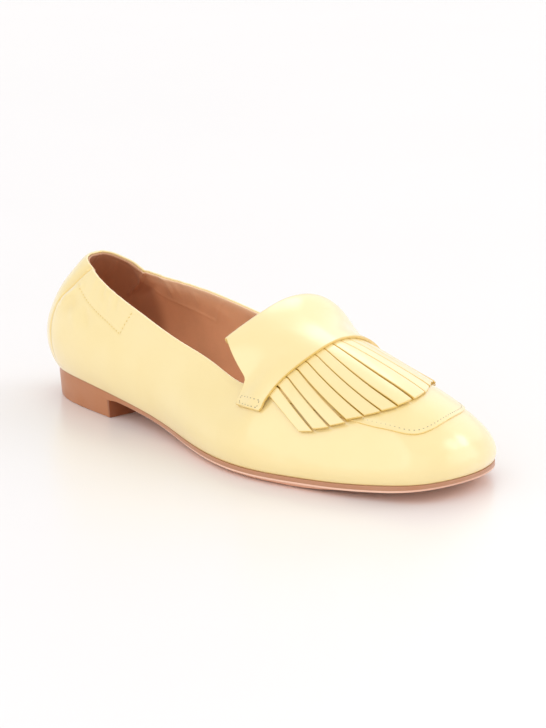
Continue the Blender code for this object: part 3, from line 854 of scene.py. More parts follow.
@lru_cache(maxsize=None)
def skin(crease, gather, drop=0.0):
    """Surface of the leather over the smooth last, with the height of its creases, gathers and seams."""
    points, number, below = wall_grid(1, drop)
    faces = quads(number, True)
    normals = point_normals(points, faces)
    drawn, tint = creases(points, CREASES)
    seam = np.exp(-(points[:, 1] / BACK_SEAM.width)**2) * (points[:, 0] < BACK_SEAM_END)
    line = np.zeros(len(points))
    for side in (-1, 1):
        for path in band_lines(side):
            line = np.maximum(line, line_weight(points, path, BAND_LINE.width))
    height = drawn * crease + gather * gathers(points, below)
    height = height - BACK_SEAM.depth * seam - BAND_LINE.depth * line
    uneven = UNEVEN + UNEVEN_HEEL * smooth_step(*UNEVEN_FADE, points[:, 0])
    height = height + unevenness(points) * uneven
    height = height - TOPLINE_ROLL * np.exp(-(below / TOPLINE_ROLL_WIDTH)**2)
    calm = smooth_step(0.0, CALM_OVER_SOLE, points[:, 2] - profile("feather", points[:, 0]))
    # Painted golden shade in the creases, the seams and under the fringe
    fold = np.maximum(tint + BACK_SEAM.tint * seam + BAND_LINE.tint * line, under_fringe(points))
    return Skin(points, normals, height * calm, np.clip(fold, 0, 1), below, number, faces)


def raised(surface, off):
    """Points of a surface with its relief, moved off it."""
    return surface.smooth + surface.normals * (surface.height + off)[:, None]


HIGH_ABOVE = 90.0


class Vamp:
    """Places on and above the vamp, by length and angle about the forefoot's axis, or from above."""

    def __init__(self, look):
        surface = skin(look.crease_depth, look.gather_depth / MM)
        self.tree = BVHTree.FromPolygons(raised(surface, 0.0).tolist(), surface.faces.tolist())

    def radius(self, x, angle):
        """Distance of the vamp from the axis."""
        start = Vector((x, AXIS_SIDE, AXIS_HEIGHT))
        aim = Vector((0.0, sin(radians(angle)), cos(radians(angle))))
        return (self.tree.ray_cast(start, aim)[0] - start).length

    def height(self, x, y):
        """Height of the vamp over a place in plan."""
        return self.tree.ray_cast(Vector((x, y, HIGH_ABOVE)), Vector((0.0, 0.0, -1.0)))[0].z


def at_angle(x, angle, radius):
    """Point at a length, an angle and a distance from the axis."""
    turn = np.radians(angle)
    return np.array([x, AXIS_SIDE + radius * np.sin(turn), AXIS_HEIGHT + radius * np.cos(turn)])


def make_upper(look, finish):
    """Vamp and quarters with a rolled topline, creased and gathered round the heel."""
    surface = skin(look.crease_depth, look.gather_depth / MM)
    thick = look.leather_thick / MM
    points = raised(surface, 0.0)
    inner = raised(surface, -thick)
    foot = surface.number[:, 0]
    level = surface.normals[foot] * [1, 1, 0]
    inner[foot] = points[foot] - level / np.linalg.norm(level, axis=1)[:, None] * thick
    inner_faces = quads(surface.number[:, ::HIDDEN_STEP], True)
    rolled = np.zeros(len(points), bool)
    rolled[surface.number[:, -1]] = True
    solid, solid_faces = rolled_wall(points, surface.faces, surface.normals, inner, inner_faces, rolled)
    # Painted golden shade of creases, seams and the fringe's shadow, on every ring of the wall
    crease_shade = np.tile(surface.fold, len(solid) // len(points))
    add_piece("upper_leather", solid, solid_faces, finish, "upper", {"fold": crease_shade})


def make_lining(look, finish):
    """Lining inside the upper, its edge just under the topline, with a napped heel and soft wrinkles."""
    surface = skin(look.crease_depth, look.gather_depth / MM, look.lining_drop / MM)
    points = surface.smooth
    outer = look.leather_thick / MM + LINING_GAP
    # Heel grip of darker napped leather, deepened by painted shade inside the heel
    grip = smooth_step(GRIP_END + GRIP_FADE, GRIP_END - GRIP_FADE, points[:, 0])
    wrinkles = creases(points - surface.normals * outer, LINING_CREASES)[0]
    visible = raised(surface, -outer - look.lining_thick / MM - GRIP_THICK * grip - wrinkles)
    hidden = raised(surface, -outer)
    hidden_faces = quads(surface.number[:, ::HIDDEN_STEP], True)[:, ::-1]
    rolled = np.zeros(len(points), bool)
    rolled[surface.number[:, -1]] = True
    solid, solid_faces = rolled_wall(
        visible, surface.faces[:, ::-1], -surface.normals, hidden, hidden_faces, rolled
    )
    # Paler band of painted highlight along the top edge, less over the heel grip
    wide = LINING_RIM_HIGHLIGHT + LINING_RIM_HIGHLIGHT_HEEL * smooth_step(*LINING_RIM_HIGHLIGHT_FADE, points[:, 0])
    edge = np.exp(-(surface.below / wide)**2) * (1 - GRIP_COVERS * grip)
    rings = len(solid) // len(points)
    values = {"grip": np.tile(grip, rings), "edge": np.tile(edge, rings)}
    add_piece("quarter_lining", solid, solid_faces, finish, None, values)


def outline(offset, sole_edge=False):
    """Closed plan outline: the feather line, or the sole's edge, moved outward by the offset."""
    s = np.linspace(0, FEATHER_LONG, OUTLINE_POINTS, endpoint=False)
    p = spline(FEATHER_AT, FEATHER_LOOP, s, FEATHER_LONG)
    run = np.roll(p, -1, 0) - np.roll(p, 1, 0)
    run = run / np.linalg.norm(run, axis=1)[:, None]
    move = offset + profile("proud", p[:, 0]) * sole_edge
    return p + np.stack([run[:, 1], -run[:, 0]], -1) * move[:, None]


def side_stations(loop, stations, front=None):
    """Lengths from heel to front, with the lateral and the medial edge at each."""
    first = np.argmin(loop[:, 0])
    loop = np.roll(loop, -first, 0)
    tip = np.argmax(loop[:, 0])
    lateral = loop[:tip + 1]
    medial = np.concatenate([loop[tip:], loop[:1]])[::-1]
    end = loop[tip, 0] if front is None else front
    turn = np.linspace(0, np.pi if front is None else np.pi / 2, stations + 1)
    share = (1 - np.cos(turn)) / (2 if front is None else 1)
    x = loop[0, 0] + (end - loop[0, 0]) * share
    return x, np.interp(x, lateral[:, 0], lateral[:, 1]), np.interp(x, medial[:, 0], medial[:, 1])


def plate(rings, across):
    """Solid between rings listed from the top down, each a set of stations with a height at each."""
    points = []
    for x, lateral, medial, z in rings:
        points.append(np.column_stack([x, lateral, z]))
        points.append(np.column_stack([x, medial, z]))
    n = len(rings[0][0])
    number = np.arange(2 * n * len(rings)).reshape(len(rings), 2, n)
    faces = []
    for upper, lower in zip(number[:-1], number[1:]):
        a, b, c, d = upper[0], lower[0], upper[1], lower[1]
        faces.append(np.column_stack([a[:-1], b[:-1], b[1:], a[1:]]))
        faces.append(np.column_stack([c[1:], d[1:], d[:-1], c[:-1]]))
        faces.append([[a[-1], b[-1], d[-1], c[-1]], [c[0], d[0], b[0], a[0]]])
    used = 2 * n * len(rings)
    share = np.linspace(0, 1, across + 1)[1:-1]
    ends = ((0, 1, points[0], points[1]), (-1, -1, points[-2], points[-1]))
    for ring, order, lateral, medial in ends:
        inner = lateral[:, None] * (1 - share[:, None]) + medial[:, None] * share[:, None]
        points.append(inner.reshape(-1, 3))
        middle = np.arange(used, used + n * len(share)).reshape(n, len(share))
        used += n * len(share)
        cap = np.column_stack([number[ring][0], middle, number[ring][1]])
        faces.append(quads(cap, False)[:, ::order])
    points = np.concatenate(points)
    return points, weld(points, np.concatenate([np.array(f) for f in faces]))


def weld(points, faces):
    """Let points in one place share a number."""
    keys = np.round(points, WELD_DIGITS)
    _kept, first, number = np.unique(keys, axis=0, return_index=True, return_inverse=True)
    return first[number.ravel()][faces]


# Rings of the sole's edge from the top down: inset, drop inside the band, share of the visible edge,
# share of the way under the sole, and how much of the pale stripe of painted floor light each carries
SoleRing = namedtuple("SoleRing", "inset drop edge below stripe")
SOLE_RINGS = [
    SoleRing(0.45, 0.0, 0.0, 0.0, 0.0),
    SoleRing(0.2, 0.03, 0.0, 0.0, 0.0),
    SoleRing(0.06, 0.14, 0.0, 0.0, 0.0),
    SoleRing(0.0, 0.36, 0.0, 0.0, 0.0),
    SoleRing(0.0, 0.0, 0.66, 0.0, 0.0),
    SoleRing(0.0, 0.0, 0.7, 0.0, 1.0),
    SoleRing(0.04, 0.0, 0.82, 0.0, 1.0),
    SoleRing(0.12, 0.0, 0.96, 0.0, 1.0),
    SoleRing(0.3, 0.0, 1.0, 0.04, 0.8),
    SoleRing(0.7, 0.0, 1.0, 0.14, 0.0),
    SoleRing(1.6, 0.0, 1.0, 0.42, 0.0),
    SoleRing(2.8, 0.0, 1.0, 0.76, 0.0),
    SoleRing(4.5, 0.0, 1.0, 1.0, 0.0),
]

# Height of the sole's visible edge along the shoe, and how strong its stripe of painted floor light is
# there
SoleHeight = namedtuple("SoleHeight", "along visible stripe")
SOLE_HEIGHTS = [
    SoleHeight(60.0, 3.0, 0.0),
    SoleHeight(80.0, 2.2, 0.0),
    SoleHeight(100.0, 1.9, 0.15),
    SoleHeight(130.0, 2.0, 0.7),
    SoleHeight(160.0, 2.3, 1.0),
    SoleHeight(200.0, 2.3, 1.0),
    SoleHeight(218.0, 2.5, 1.0),
    SoleHeight(232.0, 2.7, 0.9),
    SoleHeight(246.0, 2.3, 0.6),
]
SOLE_SEAT = 0.06
SOLE_STATIONS = 150
SOLE_ACROSS = 14
HEEL_BREAST = 65.0
SOLE_FREE = (HEEL_BREAST - 1.0, HEEL_BREAST + 5.0)
# Where the sole takes on the heel's darker, redder colour, from the waist back
SOLE_HEEL_COLOUR = (HEEL_BREAST + 45.0, HEEL_BREAST - 5.0)
TOE_HOLLOW = 0.8
TOE_HOLLOW_FADE = (195.0, 225.0)
UNDER_INSET = 0.5
UNDER_DEPTH = 1.0
SHARP_DEGREES = 40


def make_outsole(finish):
    """Full-length leather sole with arch, toe spring, a rounded upper edge and pale painted floor light low
    on its edge.
    """
    rings = []
    stripe = []
    under = []
    along = column(SOLE_HEIGHTS, "along")
    for ring in SOLE_RINGS:
        free = smooth_step(*SOLE_FREE, outline(0.0, True)[:, 0])
        inset = ring.inset * np.where(ring.edge, free, 1.0)
        x, lateral, medial = side_stations(outline(-inset, True), SOLE_STATIONS)
        top = profile("feather", x) - SOLE_SEAT
        low = under_sole(x)
        free = smooth_step(*SOLE_FREE, x)
        visible = np.interp(x, along, column(SOLE_HEIGHTS, "visible"))
        side = np.minimum(visible * free + (top - low) * (1 - free), top - low)
        edge = top - side * ring.edge - ring.drop
        hollow = 1 - TOE_HOLLOW * smooth_step(*TOE_HOLLOW_FADE, x)
        rings.append((x, lateral, medial, edge + (low - edge) * ring.below * hollow))
        stripe.append(np.tile(ring.stripe * np.interp(x, along, column(SOLE_HEIGHTS, "stripe")), 2))
        under.append(np.full(2 * len(x), float(ring.inset > UNDER_INSET and ring.edge == 1.0)))
    points, faces = plate(rings, SOLE_ACROSS)
    # Pale stripe of painted light from the floor, low on the sole's edge
    pale = np.zeros(len(points))
    stripe = np.concatenate(stripe)
    pale[:len(stripe)] = stripe
    bottom = (points[:, 2] < profile("feather", points[:, 0]) - UNDER_DEPTH).astype(float)
    bottom[:len(stripe)] = np.concatenate(under)
    heel_colour_share = smooth_step(*SOLE_HEEL_COLOUR, points[:, 0])
    values = {"stripe": pale, "under": bottom, "heel": heel_colour_share}
    add_piece("leather_outsole", points, faces, finish, "outsole", values, SHARP_DEGREES)


BREAST_RAKE = 0.5
# Painted shade on the heel's breast: how it leans with the height, and where it fades in
BREAST_SHADE_LEAN = 0.05
BREAST_SHADE_FADE = (HEEL_BREAST - 1.6, HEEL_BREAST - 0.9)
HEEL_STATIONS = 90
HEEL_ACROSS = 12

# Rings of the heel block from the top down: inset and height, the first on the sole
HeelRing = namedtuple("HeelRing", "inset height")
HEEL_RINGS = [
    HeelRing(0.0, None),
    HeelRing(0.8, 0.6),
    HeelRing(0.9, 0.25),
    HeelRing(1.3, 0.0),
]


def make_heel(finish):
    """Low block under the heel, flush with the sole's edge, its straight front face darkened by painted
    shade.
    """
    rings = []
    for ring in HEEL_RINGS:
        front = HEEL_BREAST - ring.inset * BREAST_RAKE
        x, lateral, medial = side_stations(outline(-ring.inset, True), HEEL_STATIONS, front)
        z = under_sole(x) if ring.height is None else np.full(len(x), ring.height)
        rings.append((x, lateral, medial, z))
    points, faces = plate(rings, HEEL_ACROSS)
    # Painted shade on the breast, the heel block's front face
    breast = smooth_step(*BREAST_SHADE_FADE, points[:, 0] + BREAST_SHADE_LEAN * points[:, 2])
    values = {"heel": np.ones(len(points)), "breast": breast}
    add_piece("heel_block", points, faces, finish, "heel", values, SHARP_DEGREES)


# Rings of the sock from the top down: inset from the feather line and rise over it
SockRing = namedtuple("SockRing", "inset rise")
SOCK_RINGS = [
    SockRing(3.4, 2.1),
    SockRing(2.8, 2.2),
    SockRing(2.45, 2.05),
    SockRing(2.3, 1.7),
    SockRing(2.3, 0.0),
]
SOCK_ACROSS = 16
SOCK_SHARP_DEGREES = 50


def make_sock(finish):
    """Padded sock that lies on the inner sole, a little cupped, its edge rounded."""
    rings = []
    for ring in SOCK_RINGS:
        x, lateral, medial = side_stations(outline(-ring.inset), SOLE_STATIONS)
        rings.append((x, lateral, medial, profile("feather", x) + ring.rise))
    points, faces = plate(rings, SOCK_ACROSS)
    add_piece("sock_insole", points, faces, finish, "insole", None, SOCK_SHARP_DEGREES)


def strap_column(name, angle):
    """A column of the strap table at an angle."""
    return float(spline(column(STRAP, "angle"), column(STRAP, name), angle))


def strap_back(angle):
    """Back edge: the tongue's fold between its corners, the strap's own edge outside them."""
    first, last = TONGUE_CORNERS
    if first <= angle <= last:
        inside = [s for s in STRAP if first <= s.angle <= last]
        return float(spline(column(inside, "angle"), column(inside, "back"), angle))
    outside = max(first - angle, angle - last)
    near = angle + np.linspace(-EVEN_REACH, EVEN_REACH, EVEN_STEPS) * smooth_step(*EVEN_FADE, outside)
    return float(np.interp(near, column(STRAP, "angle"), column(STRAP, "back")).mean())


def strap_lift(angle):
    """Gap between strap and vamp: room for the fringe, none at the stitched ends."""
    return float(STRAP_LIFT + (STRAP_LIFT_SEWN - STRAP_LIFT) * smooth_step(*LIFT_FADE, abs(angle)))


def seat_radius(vamp, x, angle):
    """What the strap lies on: the vamp in front, a free curve to the tongue's fold over the throat."""
    leave = strap_column("leave", angle)
    if x >= leave:
        return vamp.radius(x, angle)
    start = vamp.radius(leave, angle)
    slope = (vamp.radius(leave + LEAVE_RUN, angle) - start) / LEAVE_RUN
    span = float(np.interp(angle, column(STRAP, "angle"), column(STRAP, "fold"))) - leave
    t = (x - leave) / span
    free = start * (2 * t**3 - 3 * t**2 + 1) + slope * span * (t**3 - 2 * t**2 + t)
    return free + strap_column("reach", angle) * (3 * t**2 - 2 * t**3) - TONGUE_RISE * span * (t**3 - t**2)


def soften(table, widths):
    """Blur a table along both axes, keeping the slopes at its ends."""
    for axis, width in enumerate(widths):
        reach = int(BLUR_REACH * width)
        kernel = np.exp(-0.5 * (np.arange(-reach, reach + 1) / width)**2)
        pad = [(reach, reach) if k == axis else (0, 0) for k in range(2)]
        wide = np.pad(table, pad, mode="reflect", reflect_type="odd")
        table = np.apply_along_axis(np.convolve, axis, wide, kernel / kernel.sum(), "valid")
    return table


class Seat:
    """Taut surface that the strap lies on, without the vamp's dips."""

    def __init__(self, vamp):
        self.angles = np.linspace(*SEAT_ANGLES)
        self.lengths = np.linspace(*SEAT_LENGTHS)
        raw = np.array([[seat_radius(vamp, x, angle) for x in self.lengths] for angle in self.angles])
        taut = soften(np.maximum(raw, soften(raw, SEAT_BLUR)), SEAT_FINISH)
        free = smooth_step(*STRAP_SEWN, np.abs(self.angles))[:, None]
        self.table = raw + (taut - raw) * free

    def radius(self, x, angle):
        """Distances from the axis at lengths on one angle."""
        return spline(self.lengths, spline(self.angles, self.table, angle), x)


def strap_angles():
    """Angles of the strap's columns, close together at its ends and at the tongue's corners."""
    near = np.array(EDGE_STEPS) / EDGE_DEGREE
    sides = []
    for end, corner in ((STRAP[0].angle, TONGUE_CORNERS[0]), (STRAP[-1].angle, TONGUE_CORNERS[1])):
        way = np.sign(-end)
        outer = np.linspace(end + way * near[-1], corner, STRAP_END_COLUMNS)
        inner = np.linspace(corner + way * near[-1], 0.0, TONGUE_COLUMNS)
        sides.append(np.concatenate([end + way * near[:-1], outer, corner + way * near[1:-1], inner]))
    return np.concatenate([sides[0], sides[1][-2::-1]])


def make_strap(look, finish, seat):
    """Saddle strap and tongue in one leather, stitched ends narrow, back edge folded under."""
    thick = look.strap_thick / MM
    radius = look.fold_radius / MM
    angles = strap_angles()
    rows = with_edges(STRAP_LONG, FINE_STEP)
    turns = np.linspace(0, np.pi, FOLD_STEPS + 1)[1:]
    flap = with_edges(FLAP_LONG, LONG_STEP, False)[1:]
    first, last = TONGUE_CORNERS
    folded = (angles >= first) & (angles <= last)
    points = []
    for angle, has_fold in zip(angles, folded):
        front = strap_column("front", angle)
        back = strap_back(angle)
        lift = strap_lift(angle) + thick / 2
        lengths = front + (back - front) * rows
        for x, r in zip(lengths, seat.radius(lengths, angle) + lift):
            points.append(at_angle(x, angle, r))
        if has_fold:
            for turn in turns:
                points.append(at_angle(back - radius * sin(turn), angle, r - radius * (1 - cos(turn))))
            aside = (2 * angle - first - last) / (last - first)
            reach = FOLD_REACH + (FOLD_REACH_CORNER - FOLD_REACH) * aside**2
            for share in flap:
                points.append(at_angle(back + reach * share, angle, r - 2 * radius - FOLD_SINK * share))
    starts = np.cumsum(np.append(0, len(rows) + (len(turns) + len(flap)) * folded))
    faces = []
    for k in range(len(angles) - 1):
        steps = np.arange(min(starts[k + 1] - starts[k], starts[k + 2] - starts[k + 1]) - 1)
        a = starts[k] + steps
        b = starts[k + 1] + steps
        faces.append(np.column_stack([a, b, b + 1, a + 1]))
    solid, solid_faces, gap = leather_sheet(np.array(points), np.concatenate(faces), thick)
    # Golden cut edges: their own colour, with painted shade along them
    edge = np.exp(-(gap / EDGE_TINT)**2)
    add_piece("saddle_strap", solid, solid_faces, finish, "strap", {"edge": edge})


def slit_column(name, root):
    """A column of the slit table at root angles."""
    return spline(column(SLITS, "root"), column(SLITS, name), root)


def make_fringe(look, finish, vamp):
    """Fringe in one leather: a band under the strap and strips that fan out over the vamp."""
    thick = look.fringe_thick / MM
    gaps = [OUTER_GAP, *GAPS, OUTER_GAP]
    open_root = column(gaps, "root") * look.slit_opening / 2
    open_tip = column(gaps, "tip") * look.slit_opening / 2
    across = with_edges(STRIP_WIDE, FINE_STEP)
    strip_rows = SLIT_START + (1 - SLIT_START) * with_edges(STRIP_LONG, LONG_STEP, False)
    rows = [*TUCK_ROWS, ROOT_ROW, *strip_rows]
    points = []
    strip_of = []
    for k in range(FRINGE_STRIPS):
        for share in across:
            root = SLITS[-1].root * (2 * (k + share) / FRINGE_STRIPS - 1)
            tip = float(slit_column("tip", root))
            end = float(slit_column("along", root))
            front = strap_column("front", root)
            strip_of.append(k)
            for row in rows:
                out = max(row, 0.0)
                angle = root + (tip - root) * out
                x = front + FRINGE_TUCK * row if row < 0 else front + (end - front) * out
                left = open_root[k] + (open_tip[k] - open_root[k]) * out
                right = open_root[k + 1] + (open_tip[k + 1] - open_root[k + 1]) * out
                angle += np.degrees((left * (1 - share) - right * share) / vamp.radius(x, angle))
                curl = STRIPS[k].lift * out**CURL_POWER
                twist = STRIPS[k].twist * (share - 0.5) * out**TWIST_POWER
                lift = FRINGE_LIFT + curl + twist + thick / 2
                points.append(at_angle(x, angle, vamp.radius(x, angle) + lift))
    n = len(rows)
    faces = []
    for c in range(len(strip_of) - 1):
        last = n - 1 if strip_of[c] == strip_of[c + 1] else len(TUCK_ROWS) - 1
        a = c * n + np.arange(last)
        faces.append(np.column_stack([a, a + 1, a + n + 1, a + n]))
    solid, solid_faces, gap = leather_sheet(np.array(points), np.concatenate(faces), thick)
    # Golden cut edges of the strips: their own colour, with painted shade along them and in the slits
    edge = np.exp(-(gap / FRINGE_EDGE_TINT)**2)
    add_piece("leather_fringe", solid, solid_faces, finish, "fringe", {"edge": edge})


def apron_line(count):
    """The apron seam in plan, in even steps."""
    knots = np.column_stack([column(APRON, "along"), column(APRON, "across")])
    at = np.concatenate([[0], np.cumsum(np.linalg.norm(np.diff(knots, axis=0), axis=1))])
    fine = spline(at, knots, np.linspace(0, at[-1], APRON_FINE))
    run = np.concatenate([[0], np.cumsum(np.linalg.norm(np.diff(fine, axis=0), axis=1))])
    even = np.linspace(0, run[-1], count)
    return np.column_stack([np.interp(even, run, fine[:, 0]), np.interp(even, run, fine[:, 1])])


def make_apron(look, finish, vamp):
    """Apron laid on the vamp: a raised panel with a cut edge, its seam pressed in along the stitches."""
    thick = look.apron_thick / MM
    line = apron_line(APRON_COLUMNS)
    front, back = APRON_SPINE
    along = front + (back - front) * abs(np.linspace(-1, 1, APRON_COLUMNS))
    spine = np.column_stack([along, np.full(APRON_COLUMNS, AXIS_SIDE)])
    across = with_edges(APRON_DEEP, APRON_STEP, True, False)
    plan = line[:, None] * (1 - across[:, None]) + spine[:, None] * across[:, None]
    from_seam = across * APRON_DEEP - look.stitch_inset / MM
    dip = APRON_SEAM_DIP * np.exp(-(from_seam / APRON_SEAM_WIDTH)**2)
    points = []
    for places in plan:
        for (x, y), low in zip(places, dip):
            points.append((x, y, vamp.height(x, y) + (thick / 2 - APRON_SINK - low)))
    points = np.array(points)
    number = np.arange(len(points)).reshape(APRON_COLUMNS, len(across))
    middle = APRON_COLUMNS // 2
    number[middle + 1:, -1] = number[:middle, -1][::-1]
    faces = quads(number, False)
    solid, solid_faces, gap = leather_sheet(points, faces, thick)
    # Golden cut edge with painted shade along it, and painted shadow where the fringe lies over the apron
    values = {"edge": APRON_EDGE_SHARE * np.exp(-(gap / EDGE_TINT)**2), "fold": under_fringe(solid)}
    add_piece("apron", solid, solid_faces, finish, None, values)


def resample(path, pitch):
    """Points along a path in even steps of about the pitch, with the directions of the path."""
    path = np.asarray(path, float)
    run = np.concatenate([[0], np.cumsum(np.linalg.norm(np.diff(path, axis=0), axis=1))])
    count = max(int(round(run[-1] / pitch)), 1)
    at = (np.arange(count) + 0.5) * run[-1] / count
    here = np.column_stack([np.interp(at, run, path[:, k]) for k in range(3)])
    ahead = np.column_stack([np.interp(at + WAY_STEP, run, path[:, k]) for k in range(3)])
    behind = np.column_stack([np.interp(at - WAY_STEP, run, path[:, k]) for k in range(3)])
    way = ahead - behind
    return here, way / np.linalg.norm(way, axis=1)[:, None]


def stitches(name, rows, look, finish, pale=0.0):
    """Join a rounded stitch for each place of the rows: points, directions and normals."""
    half = look.stitch_length / MM / 2
    radius = look.stitch_width / MM / 2
    turn = np.linspace(0, 2 * np.pi, STITCH_SIDES + 1)[:-1]
    ends = np.linspace(-1, 1, STITCH_RINGS)
    points = []
    faces = []
    used = 0
    for place, way, up in rows:
        side = np.cross(way, up)
        for end in ends:
            wide = radius * (1 - abs(end)**STITCH_TAPER)**0.5 + STITCH_TIP
            bow = radius * (STITCH_BOW - STITCH_DIVE * end**2)
            centre = place + way * half * end + up * bow
            ring = side[None] * np.cos(turn)[:, None] + up[None] * np.sin(turn)[:, None]
            points.append(centre + ring * wide)
        number = used + np.arange(len(ends) * len(turn)).reshape(len(ends), len(turn))
        used += number.size
        beside = np.roll(number, -1, 1)
        faces.append(np.stack([number[:-1], beside[:-1], beside[1:], number[1:]], -1).reshape(-1, 4))
        for ring in (number[0][::-1], number[-1]):
            first = np.full(STITCH_SIDES - 2, ring[0])
            faces.append(np.column_stack([first, ring[1:-1], ring[2:], ring[2:]]))
    points = np.concatenate(points)
    add_piece(name, points, np.concatenate(faces), finish, None, {"pale": np.full(len(points), pale)})


def make_apron_stitches(look, finish, vamp):
    """Row of stitches inside the apron's edge."""
    line = apron_line(APRON_LINE_POINTS)
    run = np.roll(line, -1, 0) - np.roll(line, 1, 0)
    run[[0, -1]] = run[[1, -2]]
    inward = np.column_stack([-run[:, 1], run[:, 0]]) / np.linalg.norm(run, axis=1)[:, None]
    inset = line + inward * look.stitch_inset / MM
    top = look.apron_thick / MM - APRON_STITCH_SINK
    path = [(x, y, vamp.height(x, y) + top) for x, y in inset if x > APRON_STITCH_START]
    here, way = resample(path, look.stitch_pitch / MM)
    rows = []
    for place, ahead in zip(here, way):
        rows.append((place, ahead, vamp_normal(vamp, place)))
    stitches("apron_stitches", rows, look, finish)


def vamp_normal(vamp, place):
    """Direction out of the vamp at a place in plan."""
    x, y, _z = place
    dx = (vamp.height(x + SLOPE_STEP, y) - vamp.height(x - SLOPE_STEP, y)) / (2 * SLOPE_STEP)
    dy = (vamp.height(x, y + SLOPE_STEP) - vamp.height(x, y - SLOPE_STEP)) / (2 * SLOPE_STEP)
    up = np.array([-dx, -dy, 1.0])
    return up / np.linalg.norm(up)


def make_strap_stitches(look, finish, seat):
    """Stitched boxes that hold the strap's two ends."""
    rows = []
    top = look.strap_thick / MM - STRAP_STITCH_SINK
    for side in (-1, 1):
        outer, inner = [
            [(strap_column("front", angle) - BOX_FRONT, angle), (strap_back(angle) + BOX_BACK, angle)]
            for angle in (side * BOX_OUTER, side * BOX_INNER)
        ]
        corners = [*outer, *inner[::-1], outer[0]]
        for (x0, a0), (x1, a1) in zip(corners[:-1], corners[1:]):
            path = []
            for t in np.linspace(0, 1, BOX_STEPS):
                x = x0 + (x1 - x0) * t
                angle = a0 + (a1 - a0) * t
                path.append(at_angle(x, angle, float(seat.radius(x, angle)) + strap_lift(angle) + top))
            here, way = resample(path, look.stitch_pitch / MM)
            here = here.mean(0) + (here - here.mean(0)) * BOX_SPREAD
            for place, ahead in zip(here, way):
                angle = np.degrees(np.arctan2(place[1] - AXIS_SIDE, place[2] - AXIS_HEIGHT))
                out = at_angle(0.0, angle, 1.0) - at_angle(0.0, angle, 0.0)
                out = out - ahead * (out @ ahead)
                rows.append((place, ahead, out / np.linalg.norm(out)))
    stitches("strap_stitches", rows, look, finish)


def make_band_stitches(look, finish):
    """Stitch lines of the elastic heel band on both sides."""
    surface = skin(look.crease_depth, look.gather_depth / MM)
    points = raised(surface, 0.0)
    rows = []
    for side in (-1, 1):
        for path in band_lines(side):
            line = spline(range(len(path)), path, np.linspace(0, len(path) - 1, BAND_LINE_POINTS))
            here, way = resample(line, look.stitch_pitch / MM)
            number, _gap = nearest(here, points)
            for place, ahead, k in zip(here, way, number):
                up = surface.normals[k]
                place = place + up * ((points[k] - place) @ up)
                ahead = ahead - up * (ahead @ up)
                rows.append((place, ahead / np.linalg.norm(ahead), up))
    stitches("heel_band_stitches", rows, look, finish, 1.0)


def start_material(name):
    """A new material with one Principled shader."""
    material = bpy.data.materials.new(f"loafer_{name}")
    material.use_nodes = True
    tree = material.node_tree
    return material, tree, tree.nodes["Principled BSDF"]


def add_node(tree, kind, **inputs):
    """Add a node and set or link its inputs, named with underscores for spaces."""
    node = tree.nodes.new(kind)
    for key, value in inputs.items():
        socket = node.inputs[key.replace("_", " ")]
        if isinstance(value, bpy.types.NodeSocket):
            tree.links.new(value, socket)
        else:
            socket.default_value = value
    return node


# Sockets of the colour mix node, and ranges of values
MIX_SHARE = 0
MIX_COLOURS = (6, 7)
MIX_RESULT = 2
FULL = (0.0, 1.0)
CLOUD = (0.35, 0.65)
FIBRE = (0.3, 0.7)


def mix_colour(tree, share, first, second):
    """Mix two colours, each a colour or a socket, by a socket."""
    node = tree.nodes.new("ShaderNodeMix")
    node.data_type = "RGBA"
    tree.links.new(share, node.inputs[MIX_SHARE])
    for socket, value in zip(MIX_COLOURS, (first, second)):
        if isinstance(value, bpy.types.NodeSocket):
            tree.links.new(value, node.inputs[socket])
        else:
            node.inputs[socket].default_value = (*value[:3], 1.0)
    return node.outputs[MIX_RESULT]


def spread(tree, value, old, new):
    """Map a value's range onto another."""
    node = tree.nodes.new("ShaderNodeMapRange")
    tree.links.new(value, node.inputs["Value"])
    for key, number in zip(("From Min", "From Max", "To Min", "To Max"), (*old, *new)):
        node.inputs[key].default_value = number
    return node.outputs["Result"]


def point_value(tree, name):
    """A value that the mesh holds at its points."""
    node = tree.nodes.new("ShaderNodeAttribute")
    node.attribute_name = name
    return node.outputs["Fac"]


def tinted(tree, first, name, share, second):
    """Mix a second colour in where the mesh's points say so, up to a share."""
    return mix_colour(tree, spread(tree, point_value(tree, name), FULL, (0.0, share)), first, second)


# Leather grain: pores and slow crumples to a cell, and how deep the pores are beside the cells
PORES_TO_CELL = 2.2
CRUMPLES_TO_CELL = 0.08
PORE_DEPTH = 0.5


def grain(tree, shader, cell, depth, crumple):
    """Leather grain: cells with fine pores on a slow crumple, as bump."""
    place = tree.nodes.new("ShaderNodeTexCoord").outputs["Object"]
    cells = add_node(tree, "ShaderNodeTexVoronoi", Vector=place, Scale=1 / cell)
    cells.feature = "SMOOTH_F1"
    pores = add_node(tree, "ShaderNodeTexNoise", Vector=place, Scale=PORES_TO_CELL / cell, Detail=3.0)
    slow = add_node(tree, "ShaderNodeTexNoise", Vector=place, Scale=CRUMPLES_TO_CELL / cell, Detail=2.0)
    fine = tree.nodes.new("ShaderNodeMath")
    fine.operation = "MULTIPLY_ADD"
    tree.links.new(pores.outputs["Fac"], fine.inputs[0])
    fine.inputs[1].default_value = PORE_DEPTH
    tree.links.new(cells.outputs["Distance"], fine.inputs[2])
    low = add_node(tree, "ShaderNodeBump", Strength=1.0, Distance=crumple, Height=slow.outputs["Fac"])
    high = add_node(tree, "ShaderNodeBump", Strength=1.0, Distance=depth, Height=fine.outputs[0])
    tree.links.new(low.outputs["Normal"], high.inputs["Normal"])
    tree.links.new(high.outputs["Normal"], shader.inputs["Normal"])
    return place


# Deeper tone of each finish in its cloudy places, as shares of its colour, and painted shade between the
# thread's plies
LEMON_DEEPER = (0.985, 0.965, 0.90)
LINING_DEEPER = (0.88, 0.88, 0.88)
THREAD_PLY_SHADE = (0.6, 0.6, 0.6)
FLOOR_DEEPER = (0.985, 0.985, 0.985)


def shaded(colour, shares):
    """A colour with its three parts taken down to shares."""
    return [c * s for c, s in zip(colour, shares)]


